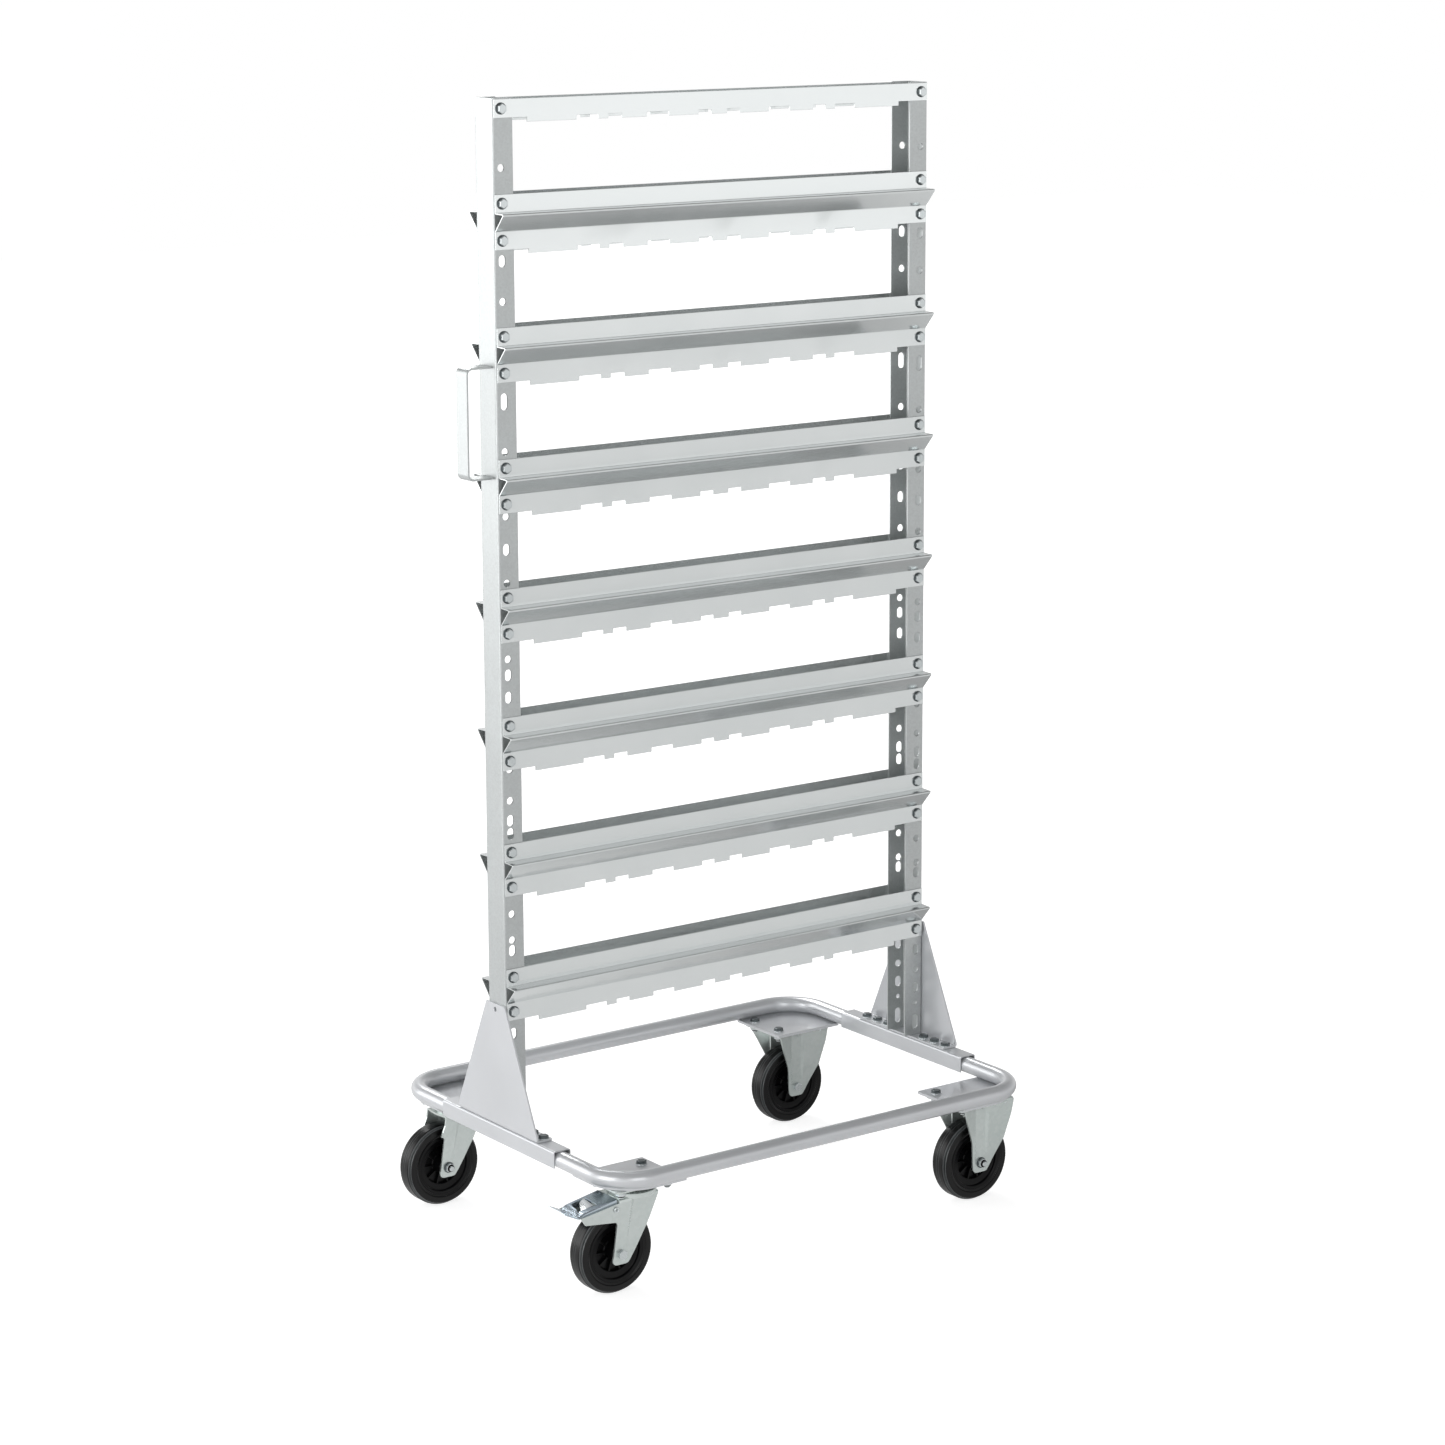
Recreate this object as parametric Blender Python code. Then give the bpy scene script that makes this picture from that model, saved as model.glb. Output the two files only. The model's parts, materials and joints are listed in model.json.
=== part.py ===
"""A two-sided mobile rack for small storage bins, in metres, +Z up, standing on the floor at zero.

Two folded uprights stand on a bent tube base with four castors, the left pair swivelling. Bin rails
are bolted to both faces of the uprights. Front is -Y, and the push handle is on the left, at -X.
"""

import math

import bmesh
import bpy
from mathutils import Matrix, Vector

# Clearances, roundness and cutting
GAP = 0.0003
RUNNING_GAP = 0.0003
OVERRUN = 0.004
WELD = 0.000001
SMOOTH_ANGLE = math.radians(35)
ROUND_SIDES = 20
PIN_SIDES = 8
HEX_SIDES = 6
TUBE_SIDES = 12
TUBE_BORE_SIDES = 8
HOLE_SIDES = 6
CORNER_STEPS = 5
BEND_STEPS = 2

# Bolts, used all over the rack
BOLT_DIAMETER = 0.008
BOLT_HOLE = 0.0092
HEX_FLATS = 0.013
BOLT_HEAD = 0.0053
NUT_HEIGHT = 0.0065
BOLT_POINT = 0.003

# Base frame: one bent tube, a corner plate over each castor
BASE_LENGTH = 0.776
BASE_DEPTH = 0.600
TUBE_DIAMETER = 0.025
TUBE_WALL = 0.0015
TUBE_CORNER = 0.065
DRAIN_HOLE = 0.006
CORNER_PLATE_GAUGE = 0.004
CORNER_PLATE_LENGTH = 0.1205
CORNER_PLATE_DEPTH = 0.1115

# Castors
WHEEL_DIAMETER = 0.125
TYRE_WIDTH = 0.0336
TREAD_WIDTH = 0.020
TYRE_DEPTH = 0.0165
RIM_WIDTH = 0.030
RIM_LIP = 0.0055
RIM_SHOULDER = 0.010
HUB_DIAMETER = 0.028
HUB_WIDTH = 0.049
WEB_GAUGE = 0.008
SLEEVE_DIAMETER = 0.012
AXLE_DIAMETER = 0.008
CASTOR_HEIGHT = 0.1604
CASTOR_INSET_X = 0.06325
CASTOR_INSET_Y = 0.056
CASTOR_PLATE_LENGTH = 0.105
CASTOR_PLATE_WIDTH = 0.085
CASTOR_PLATE_GAUGE = 0.003
CASTOR_BOLTS_X = 0.080
CASTOR_BOLTS_Y = 0.064
FORK_WIDTH = 0.056
FORK_GAUGE = 0.003
FORK_FOOT = 0.015
FORK_FOOT_FRONT = 0.011
FORK_FOOT_CORNER = 0.007
FORK_BEND = 0.002
LEG_FRONT = 0.045
LEG_FRONT_HEIGHT = 0.034
LEG_BACK = 0.0067
LEG_BACK_HEIGHT = 0.0437
CROWN_DROP = 0.0174
CROWN_BACK = 0.0395
CROWN_FRONT = 0.0315
BRACKET_FRONT = 0.043
BRACKET_FRONT_HEIGHT = 0.033
BRACKET_FRONT_TOP = 0.070
BRACKET_BACK = 0.018
BRACKET_BACK_HEIGHT = 0.035
BRACKET_BACK_TOP = 0.044
BRACKET_FLARE_START = 0.045
BRACKET_FLARE_END = 0.083
TRAIL = 0.0365
RACE_DIAMETER = 0.072
RACE_DISH = 0.003
UPPER_RACE_DIAMETER = 0.066
UPPER_RACE_DEPTH = 0.0054
BALL_RACE_OUTER = 0.060
BALL_RACE_INNER = 0.048
BALL_RACE_HEIGHT = 0.0024
KINGPIN_DIAMETER = 0.011
KINGPIN_HEAD_DIAMETER = 0.018
KINGPIN_HEAD = 0.0055

# Brake of the front left castor, measured from its axle or along its pedal
BRAKE_PIVOT_BACK = 0.009
BRAKE_PIVOT_UP = 0.068
BRAKE_PIN_DIAMETER = 0.006
BRAKE_PIN_HEAD_DIAMETER = 0.009
BRAKE_PIN_HEAD = 0.0025
WING_LENGTH = 0.0684
WING_TIP_TOP = 0.0665
WING_FOOT = 0.0603
WING_TIP_BOTTOM = 0.0547
WING_ROOT = 0.049
WING_INSET = 0.0001
PEDAL_GAUGE = 0.002
PEDAL_SLOPE = math.radians(10.6)
PEDAL_LENGTH = 0.060
PEDAL_RISE = 0.0126
PEDAL_DIP = 0.0034
PEDAL_DIP_LENGTH = 0.010
PEDAL_BOSS = 0.0058
LIP_LENGTH = 0.026
LIP_SLOPE = math.radians(36)
SHOE_WIDTH = 0.018
SHOE_LENGTH = 0.010
SHOE_START = 0.0065
SHOE_DROP = 0.0022

# Uprights, their feet and the channels that saddle the tube
UPRIGHT_WIDTH = 0.045
UPRIGHT_DEPTH = 0.0334
UPRIGHT_GAUGE = 0.002
UPRIGHT_BEND = 0.002
UPRIGHT_TOP_MARGIN = 0.0013
CHANNEL_LENGTH = 0.300
CHANNEL_HEIGHT = 0.025
CHANNEL_WALL = 0.0017
FOOT_GAUGE = 0.003
FOOT_BEND = 0.0021
FOOT_HEIGHT = 0.1837
FOOT_LENGTH = 0.212
FOOT_TOP_WIDTH = 0.048
FOOT_FLANGE = 0.0265
FOOT_HOLE = 0.007
FOOT_HOLE_DROP = 0.0085
FOOT_BOLT_FIRST = 0.045
FOOT_BOLT_STEP = 0.0265
FOOT_BOLT_COUNT = 3
FOOT_BOLT_INSET = 0.017

# Bin rails and top strips
RAIL_COUNT = 7
RAIL_PITCH = 0.1856
LOWEST_RAIL = 0.1583
RAIL_GAUGE = 0.0015
RAIL_END_INSET = 0.0022
RAIL_LOWER_FLANGE = 0.026
RAIL_UPPER_FLANGE = 0.026
RAIL_NOSE_REACH = 0.0215
RAIL_NOSE_HEIGHT = 0.0225
RAIL_LEDGE_RISE = 0.0025
RAIL_NOSE_RADIUS = 0.0015
RAIL_TAB = 0.0065
RAIL_BOLT_INSET = 0.0135
RAIL_LOWER_BOLT = 0.013
RAIL_UPPER_BOLT = 0.0125
RAIL_SHANK_PAST = 0.005
TOP_STRIP_WIDTH = 0.026
TOP_STRIP_CLEARANCE = 0.1055

# Push handle on the left upright
HANDLE_HEIGHT = 0.160
HANDLE_REACH = 0.0430
HANDLE_WIDTH = 0.028
HANDLE_GAUGE = 0.003
HANDLE_BEND = 0.008
HANDLE_MIDDLE_SHARE = 0.6948

# Punched holes of an upright's two flanges, as shares of its length
HOLE_WIDTH = 0.011
SMALL_HOLE = 0.007
SLOT_LENGTH = 0.017
LONG_SLOT_LENGTH = 0.024
ROUND_HOLE_SHARES = (0.0713, 0.1876, 0.2137, 0.3268, 0.3578, 0.4662)
ROUND_HOLE_SHARES += (0.5401, 0.6048, 0.6669, 0.8097, 0.9352)
SMALL_HOLE_SHARES = (0.0349,)
SLOT_SHARES = (0.0514, 0.0931, 0.1770, 0.2939, 0.3070, 0.4287, 0.4506, 0.5728, 0.8478)
LONG_SLOT_SHARES = (0.0140, 0.7149)

# Tabs below a rail's lower flange, from the middle out, as shares of half its length
TAB_SHARES = ((0, 0.0364), (0.0952, 0.231), (0.330, 0.442), (0.502, 0.5475), (0.642, 0.858))

# The window in the brake pedal's top, as shares of its length and of half its width
WINDOW_SHARES = ((0.417, 0.70), (0.833, -0.30), (0.333, -0.46))

# Heights and places that follow from the sizes above
AXLE_HEIGHT = WHEEL_DIAMETER / 2
CORNER_PLATE_BOTTOM = CASTOR_HEIGHT + GAP
CORNER_PLATE_TOP = CORNER_PLATE_BOTTOM + CORNER_PLATE_GAUGE
TUBE_HEIGHT = CORNER_PLATE_TOP + GAP + TUBE_DIAMETER / 2
TUBE_X = (BASE_LENGTH - TUBE_DIAMETER) / 2
TUBE_Y = (BASE_DEPTH - TUBE_DIAMETER) / 2
CHANNEL_WIDTH = TUBE_DIAMETER + 2 * (GAP + CHANNEL_WALL)
CHANNEL_TOP = TUBE_HEIGHT + TUBE_DIAMETER / 2 + GAP + CHANNEL_WALL
CHANNEL_OUTER_X = TUBE_X + CHANNEL_WIDTH / 2
FOOT_BOTTOM = CHANNEL_TOP + GAP
UPRIGHT_BOTTOM = FOOT_BOTTOM + FOOT_GAUGE + GAP
UPRIGHT_OUTER_X = CHANNEL_OUTER_X - FOOT_GAUGE - GAP
BOLT_COLUMN_X = UPRIGHT_OUTER_X - RAIL_BOLT_INSET
RAIL_LENGTH = 2 * (UPRIGHT_OUTER_X - RAIL_END_INSET)
RAIL_BACK_Y = UPRIGHT_WIDTH / 2 + GAP
RAIL_HEIGHT = RAIL_LOWER_FLANGE + RAIL_NOSE_HEIGHT + RAIL_LEDGE_RISE + RAIL_UPPER_FLANGE
RAIL_HEIGHTS = [UPRIGHT_BOTTOM + LOWEST_RAIL + step * RAIL_PITCH for step in range(RAIL_COUNT)]
TOP_STRIP_BOTTOM = RAIL_HEIGHTS[-1] + RAIL_HEIGHT + TOP_STRIP_CLEARANCE
UPRIGHT_TOP = TOP_STRIP_BOTTOM + TOP_STRIP_WIDTH + UPRIGHT_TOP_MARGIN
UPRIGHT_LENGTH = UPRIGHT_TOP - UPRIGHT_BOTTOM
CASTOR_PLATE_BOTTOM = CASTOR_HEIGHT - CASTOR_PLATE_GAUGE
CROWN_TOP = CASTOR_HEIGHT - CROWN_DROP
FORK_INNER = FORK_WIDTH / 2 - FORK_GAUGE
SLEEVE_LENGTH = 2 * (FORK_INNER - GAP)
BALL_RACE_BOTTOM = CASTOR_PLATE_BOTTOM - UPPER_RACE_DEPTH - GAP - BALL_RACE_HEIGHT
CASTOR_X = TUBE_X - CASTOR_INSET_X
CASTOR_Y = TUBE_Y - CASTOR_INSET_Y

# The two places of a mirrored pair
SIDES = {"left": -1, "right": 1}
FACES = {"front": -1, "rear": 1}

# A profile is drawn in two directions and grows or turns about the third
TO_AXIS = {
    "X": Matrix(((0, 0, 1), (1, 0, 0), (0, 1, 0))),
    "Y": Matrix(((1, 0, 0), (0, 0, 1), (0, 1, 0))),
    "Z": Matrix.Identity(3),
}


def clear_scene():
    for item in list(bpy.data.objects):
        bpy.data.objects.remove(item, do_unlink=True)


def make_material(name, colour, roughness, metallic):
    material = bpy.data.materials.new(name)
    material.use_nodes = True
    shader = material.node_tree.nodes["Principled BSDF"]
    shader.inputs["Base Color"].default_value = (*colour, 1)
    shader.inputs["Roughness"].default_value = roughness
    shader.inputs["Metallic"].default_value = metallic
    material.diffuse_color = (*colour, 1)
    return material


def finished(shape, axis="Z"):
    """The mesh of a bmesh drawn about Z, turned to the given axis, with its faces pointing out."""
    bmesh.ops.transform(shape, matrix=TO_AXIS[axis].to_4x4(), verts=shape.verts)
    bmesh.ops.recalc_face_normals(shape, faces=shape.faces)
    mesh = bpy.data.meshes.new("shape")
    shape.to_mesh(mesh)
    shape.free()
    return mesh


def prism(outline, low, high, axis="Z"):
    """An outline grown from low to high along the axis."""
    shape = bmesh.new()
    face = shape.faces.new([shape.verts.new((x, y, low)) for x, y in outline])
    grown = bmesh.ops.extrude_face_region(shape, geom=[face])["geom"]
    moved = [item for item in grown if isinstance(item, bmesh.types.BMVert)]
    bmesh.ops.translate(shape, verts=moved, vec=(0, 0, high - low))
    return finished(shape, axis)


def turned(profile, sides=ROUND_SIDES, axis="Z", centre=(0, 0)):
    """A (radius, height) profile spun about the axis. Ends on the axis are left open, the rest closes."""
    shape = bmesh.new()
    points = [shape.verts.new((radius, 0, height)) for radius, height in profile]
    on_axis = profile[0][0] == 0 and profile[-1][0] == 0
    pairs = zip(points, points[1:] if on_axis else points[1:] + points[:1])
    lines = [shape.edges.new(pair) for pair in pairs]
    around = {"axis": (0, 0, 1), "cent": (0, 0, 0), "angle": math.tau, "steps": sides}
    bmesh.ops.spin(shape, geom=points + lines, use_merge=True, **around)
    bmesh.ops.remove_doubles(shape, verts=shape.verts, dist=WELD)
    bmesh.ops.translate(shape, verts=shape.verts, vec=(*centre, 0))
    return finished(shape, axis)


def box(low, high):
    outline = [(low[0], low[1]), (high[0], low[1]), (high[0], high[1]), (low[0], high[1])]
    return prism(outline, low[2], high[2])


def rod(radius, low, high, axis="Z", centre=(0, 0), sides=PIN_SIDES):
    return turned([(0, low), (radius, low), (radius, high), (0, high)], sides, axis, centre)


def together(meshes):
    """Several shapes in one mesh, still separate, to cut with at one go."""
    shape = bmesh.new()
    for mesh in meshes:
        shape.from_mesh(mesh)
        bpy.data.meshes.remove(mesh)
    mesh = bpy.data.meshes.new("shape")
    shape.to_mesh(mesh)
    shape.free()
    return mesh


def combined(mesh, other, operation):
    """The Boolean of two meshes, worked out at once."""
    first, second = (bpy.data.objects.new("operand", data) for data in (mesh, other))
    for item in (first, second):
        bpy.context.scene.collection.objects.link(item)
    change = first.modifiers.new("Boolean", "BOOLEAN")
    change.operation = operation
    change.object = second
    graph = bpy.context.evaluated_depsgraph_get()
    result = bpy.data.meshes.new_from_object(first.evaluated_get(graph))
    for item in (first, second):
        data = item.data
        bpy.data.objects.remove(item)
        bpy.data.meshes.remove(data)
    return result


def cut(mesh, *cutters):
    return combined(mesh, together(cutters), "DIFFERENCE")


def join(mesh, *others):
    for other in others:
        mesh = combined(mesh, other, "UNION")
    return mesh


def rounded(corners, steps=CORNER_STEPS):
    """The points of an outline given as (x, y, radius) corners, each radius above zero drawn as an arc."""
    points = []
    for index, (x, y, radius) in enumerate(corners):
        here = Vector((x, y))
        if not radius:
            points.append(here)
            continue
        back = (Vector(corners[index - 1][:2]) - here).normalized()
        ahead = (Vector(corners[(index + 1) % len(corners)][:2]) - here).normalized()
        half = back.angle(ahead) / 2
        centre = here + (back + ahead).normalized() * radius / math.sin(half)
        start = here + back * radius / math.tan(half) - centre
        turn = math.copysign(math.pi - 2 * half, back.cross(ahead) * -1)
        points += [centre + Matrix.Rotation(turn * step / steps, 2) @ start for step in range(steps + 1)]
    return points


def strip(points, gauge):
    """The outline of a folded sheet, from the points along the middle of its thickness."""
    runs = [(after - before).normalized() for before, after in zip(points, points[1:])]
    sides = ([], [])
    for index, point in enumerate(points):
        before, after = runs[max(index - 1, 0)], runs[min(index, len(runs) - 1)]
        normal = Vector((-before.y - after.y, before.x + after.x)).normalized()
        reach = gauge / 2 / normal.dot(Vector((-before.y, before.x)))
        sides[0].append(point + normal * reach)
        sides[1].append(point - normal * reach)
    return sides[0] + sides[1][::-1]


def place(name, mesh, material, location=(0, 0, 0), turn=0, parent=None):
    """A named object of the rack. The mesh may be shared with other objects."""
    if not mesh.materials:
        mesh.materials.append(material)
        mesh.shade_smooth()
        mesh.set_sharp_from_angle(angle=SMOOTH_ANGLE)
    mesh.name = name
    item = bpy.data.objects.new(name, mesh)
    item.location = location
    item.rotation_euler = (0, 0, turn)
    item.parent = parent
    bpy.context.scene.collection.objects.link(item)
    return item


def place_axis(name, location):
    """An empty on a joint's axis, which carries the pieces that turn about it."""
    empty = bpy.data.objects.new(name, None)
    empty.location = location
    empty.empty_display_size = KINGPIN_HEAD_DIAMETER
    bpy.context.scene.collection.objects.link(empty)
    return empty


def hex_radius():
    return HEX_FLATS / 2 / math.cos(math.pi / HEX_SIDES)


def headed_pin(radius, head, low, shoulder, high):
    """A profile for turned(): a pin from low to the shoulder, and a wider head from there to high."""
    return [(0, low), (radius, low), (radius, shoulder), (head, shoulder), (head, high), (0, high)]


# Base frame


def loop_tube(radius, sides):
    """A circle swept round the base's rounded rectangle."""
    corners = [(x * TUBE_X, y * TUBE_Y, TUBE_CORNER) for x, y in ((1, 1), (-1, 1), (-1, -1), (1, -1))]
    path = rounded(corners)
    shape = bmesh.new()
    rings = []
    for index, point in enumerate(path):
        ahead = (path[(index + 1) % len(path)] - point).normalized()
        behind = (point - path[index - 1]).normalized()
        outward = Vector((ahead.y + behind.y, -ahead.x - behind.x)).normalized()
        stretch = 1 / outward.dot(Vector((ahead.y, -ahead.x)))
        ring = []
        for side in range(sides):
            angle = math.tau * side / sides
            across = outward * stretch * radius * math.cos(angle)
            ring.append(shape.verts.new((*(point + across), TUBE_HEIGHT + radius * math.sin(angle))))
        rings.append(ring)
    for ring, following in zip(rings, rings[1:] + rings[:1]):
        for side in range(sides):
            ahead = (side + 1) % sides
            shape.faces.new((ring[side], ring[ahead], following[ahead], following[side]))
    return finished(shape)


def make_base_tube():
    """A hollow loop, with the drain hole that such a painted tube has underneath."""
    radius = TUBE_DIAMETER / 2
    drain = rod(DRAIN_HOLE / 2, TUBE_HEIGHT - radius - OVERRUN, TUBE_HEIGHT, centre=(0, TUBE_Y))
    hollow = cut(loop_tube(radius, TUBE_SIDES), loop_tube(radius - TUBE_WALL, TUBE_BORE_SIDES))
    return cut(hollow, drain)


def castor_bolt_places():
    return [(x * CASTOR_BOLTS_X / 2, y * CASTOR_BOLTS_Y / 2) for x in (-1, 1) for y in (-1, 1)]


def make_corner_plate(side, face, swivels):
    """The plate under a corner of the tube, with the four bolts and nuts that hold its castor.

    A bolt has no head above the plate where the bent tube leaves no room, nor on a fixed castor's
    outer side.
    """
    outer_x, outer_y = side * TUBE_X, face * TUBE_Y
    inner_x, inner_y = outer_x - side * CORNER_PLATE_LENGTH, outer_y - face * CORNER_PLATE_DEPTH
    corners = [(inner_x, inner_y, 0), (outer_x, inner_y, 0), (outer_x, outer_y, TUBE_CORNER)]
    outline = rounded([*corners, (inner_x, outer_y, 0)])
    plate = prism(outline, CORNER_PLATE_BOTTOM, CORNER_PLATE_TOP)
    middle = (CORNER_PLATE_BOTTOM + CORNER_PLATE_TOP) / 2
    nut_top = CASTOR_PLATE_BOTTOM - GAP
    nut_bottom = nut_top - NUT_HEIGHT
    shank = BOLT_DIAMETER / 2
    for x, y in castor_bolt_places():
        centre = (side * CASTOR_X + x, face * CASTOR_Y + y)
        is_outer = x * side > 0 and (y * face > 0 or not swivels)
        profile = [(0, nut_bottom - BOLT_POINT), (shank, nut_bottom - BOLT_POINT), (shank, nut_bottom)]
        profile += [(hex_radius(), nut_bottom), (hex_radius(), nut_top), (shank, nut_top)]
        if is_outer:
            profile += [(shank, middle), (0, middle)]
        else:
            head_top = CORNER_PLATE_TOP + BOLT_HEAD
            profile += [(shank, middle), (hex_radius(), middle), (hex_radius(), head_top), (0, head_top)]
        plate = join(plate, turned(profile, HEX_SIDES, "Z", centre))
    return plate


# Uprights and feet


def make_channel():
    """The left inverted channel that saddles the tube and carries a foot."""
    top, bottom = CHANNEL_TOP - CHANNEL_WALL / 2, CHANNEL_TOP - CHANNEL_HEIGHT
    half = (CHANNEL_WIDTH - CHANNEL_WALL) / 2
    corners = [(-half, bottom, 0), (-half, top, CHANNEL_WALL), (half, top, CHANNEL_WALL), (half, bottom, 0)]
    middle = [point + Vector((-TUBE_X, 0)) for point in rounded(corners, BEND_STEPS)]
    channel = prism(strip(middle, CHANNEL_WALL), -CHANNEL_LENGTH / 2, CHANNEL_LENGTH / 2, "Y")
    low, high = CHANNEL_TOP - CHANNEL_WALL - OVERRUN, CHANNEL_TOP + OVERRUN
    holes = [rod(BOLT_HOLE / 2, low, high, centre=centre) for centre in foot_bolt_places()]
    return cut(channel, *holes)


def foot_bolt_places():
    """The bolts of the left foot's flange, in two rows of three either side of the upright."""
    steps = [FOOT_BOLT_FIRST + step * FOOT_BOLT_STEP for step in range(FOOT_BOLT_COUNT)]
    return [(-CHANNEL_OUTER_X + FOOT_BOLT_INSET, face * step) for face in (-1, 1) for step in steps]


def make_foot():
    """The left foot: a folded plate, a tapered gusset up the upright and a flange on the channel."""
    outer = -CHANNEL_OUTER_X + FOOT_GAUGE / 2
    flange = FOOT_BOTTOM + FOOT_GAUGE / 2
    top = FOOT_BOTTOM + FOOT_HEIGHT
    corners = [(outer, top, 0), (outer, flange, FOOT_BEND), (outer + FOOT_FLANGE, flange, 0)]
    folded = prism(strip(rounded(corners, BEND_STEPS), FOOT_GAUGE), -FOOT_LENGTH / 2, FOOT_LENGTH / 2, "Y")
    wide, narrow = FOOT_LENGTH / 2, FOOT_TOP_WIDTH / 2
    low, fold, high = FOOT_BOTTOM - OVERRUN, FOOT_BOTTOM + 2 * FOOT_GAUGE, top + OVERRUN
    outline = [(-wide - OVERRUN, low), (wide + OVERRUN, low), (wide, fold), (narrow, top), (narrow, high)]
    outline += [(-narrow, high), (-narrow, top), (-wide, fold)]
    reach = (-CHANNEL_OUTER_X - OVERRUN, -CHANNEL_OUTER_X + FOOT_FLANGE + OVERRUN)
    foot = combined(folded, prism(outline, *reach, "X"), "INTERSECT")
    rivet_hole = rod(FOOT_HOLE / 2, reach[0], reach[1], "X", (0, top - FOOT_HOLE_DROP))
    foot = cut(foot, rivet_hole)
    middle, head_top = FOOT_BOTTOM + FOOT_GAUGE / 2, FOOT_BOTTOM + FOOT_GAUGE + BOLT_HEAD
    profile = headed_pin(BOLT_DIAMETER / 2, hex_radius(), CHANNEL_TOP - CHANNEL_WALL, middle, head_top)
    for centre in foot_bolt_places():
        foot = join(foot, turned(profile, HEX_SIDES, "Z", centre))
    return foot


def slot(width, length, height):
    """The outline of an upright slot whose middle is at this height, in the upright's bolt column."""
    radius, run = width / 2, (length - width) / 2
    points = []
    for end in (1, -1):
        for step in range(HOLE_SIDES // 2 + (1 if run else 0)):
            angle = end * math.pi / 2 - math.pi / 2 + math.tau * step / HOLE_SIDES
            across, up = radius * math.cos(angle), radius * math.sin(angle)
            points.append((-BOLT_COLUMN_X + across, height + end * run + up))
    return points


def make_upright():
    """The left upright: a folded channel, open to the inside, punched through both flanges."""
    web, edge = -UPRIGHT_OUTER_X + UPRIGHT_GAUGE / 2, -UPRIGHT_OUTER_X + UPRIGHT_DEPTH
    half = (UPRIGHT_WIDTH - UPRIGHT_GAUGE) / 2
    corners = [(edge, -half, 0), (web, -half, UPRIGHT_BEND), (web, half, UPRIGHT_BEND), (edge, half, 0)]
    upright = prism(strip(rounded(corners, BEND_STEPS), UPRIGHT_GAUGE), UPRIGHT_BOTTOM, UPRIGHT_TOP)
    punched = [(share, HOLE_WIDTH, HOLE_WIDTH) for share in ROUND_HOLE_SHARES]
    punched += [(share, SMALL_HOLE, SMALL_HOLE) for share in SMALL_HOLE_SHARES]
    punched += [(share, HOLE_WIDTH, SLOT_LENGTH) for share in SLOT_SHARES]
    punched += [(share, HOLE_WIDTH, LONG_SLOT_LENGTH) for share in LONG_SLOT_SHARES]
    reach = UPRIGHT_WIDTH / 2 + OVERRUN
    cutters = [
        prism(slot(width, length, UPRIGHT_BOTTOM + share * UPRIGHT_LENGTH), -reach, reach, "Y")
        for share, width, length in punched
    ]
    columns = [(-BOLT_COLUMN_X, height) for height in bolt_heights()]
    cutters += [rod(BOLT_HOLE / 2, -reach, reach, "Y", column, HEX_SIDES) for column in columns]
    return cut(upright, *cutters)


def bolt_heights():
    """Where the rails and the top strip are bolted to an upright."""
    heights = [TOP_STRIP_BOTTOM + TOP_STRIP_WIDTH / 2]
    for rail in RAIL_HEIGHTS:
        heights += [rail + RAIL_LOWER_BOLT, rail + RAIL_HEIGHT - RAIL_UPPER_BOLT]
    return heights


# Rails, strips and handle


def rail_bolts(heights):
    """Bolts for the front face at both ends, their heads in front of the sheet."""
    sheet = -RAIL_BACK_Y - RAIL_GAUGE / 2
    head = -RAIL_BACK_Y - RAIL_GAUGE - BOLT_HEAD
    end = -UPRIGHT_WIDTH / 2 + UPRIGHT_GAUGE + RAIL_SHANK_PAST
    profile = headed_pin(BOLT_DIAMETER / 2, hex_radius(), end, sheet, head)
    places = [(side * BOLT_COLUMN_X, height) for side in SIDES.values() for height in heights]
    return [turned(profile, HEX_SIDES, "Y", centre) for centre in places]


def make_rail():
    """A front rail: a flat flange, a sloping front, a ledge that the bins hook on, and an upper flange.

    Its own height zero is the lower flange's edge, below which only the tabs reach.
    """
    sheet = -RAIL_BACK_Y - RAIL_GAUGE / 2
    nose = (sheet - RAIL_NOSE_REACH, RAIL_LOWER_FLANGE + RAIL_NOSE_HEIGHT)
    ledge = nose[1] + RAIL_LEDGE_RISE
    corners = [(sheet, -RAIL_TAB, 0), (sheet, RAIL_LOWER_FLANGE, 0), (*nose, RAIL_NOSE_RADIUS)]
    corners += [(sheet, ledge, 0), (sheet, RAIL_HEIGHT, 0)]
    half = RAIL_LENGTH / 2
    rail = prism(strip(rounded(corners, BEND_STEPS), RAIL_GAUGE), -half, half, "X")
    rail = cut(rail, *tab_notches())
    return join(rail, *rail_bolts((RAIL_LOWER_BOLT, RAIL_HEIGHT - RAIL_UPPER_BOLT)))


def tab_notches():
    """Cutters for what is missing between the tabs of a front sheet's lower edge, and beyond the last."""
    half, sheet = RAIL_LENGTH / 2, -RAIL_BACK_Y - RAIL_GAUGE / 2
    starts = [end * half for _, end in TAB_SHARES]
    ends = [start * half for start, _ in TAB_SHARES[1:]] + [half + OVERRUN]
    spans = [span for start, end in zip(starts, ends) for span in ((start, end), (-end, -start))]
    below = -RAIL_TAB - OVERRUN
    return [box((low, sheet - OVERRUN, below), (high, sheet + OVERRUN, 0)) for low, high in spans]


def make_top_strip():
    """The flat strip across the top of the front. Like a rail, it has tabs below its height zero."""
    half = RAIL_LENGTH / 2
    flat = box((-half, -RAIL_BACK_Y - RAIL_GAUGE, -RAIL_TAB), (half, -RAIL_BACK_Y, TOP_STRIP_WIDTH))
    return join(cut(flat, *tab_notches()), *rail_bolts((TOP_STRIP_WIDTH / 2,)))


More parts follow.
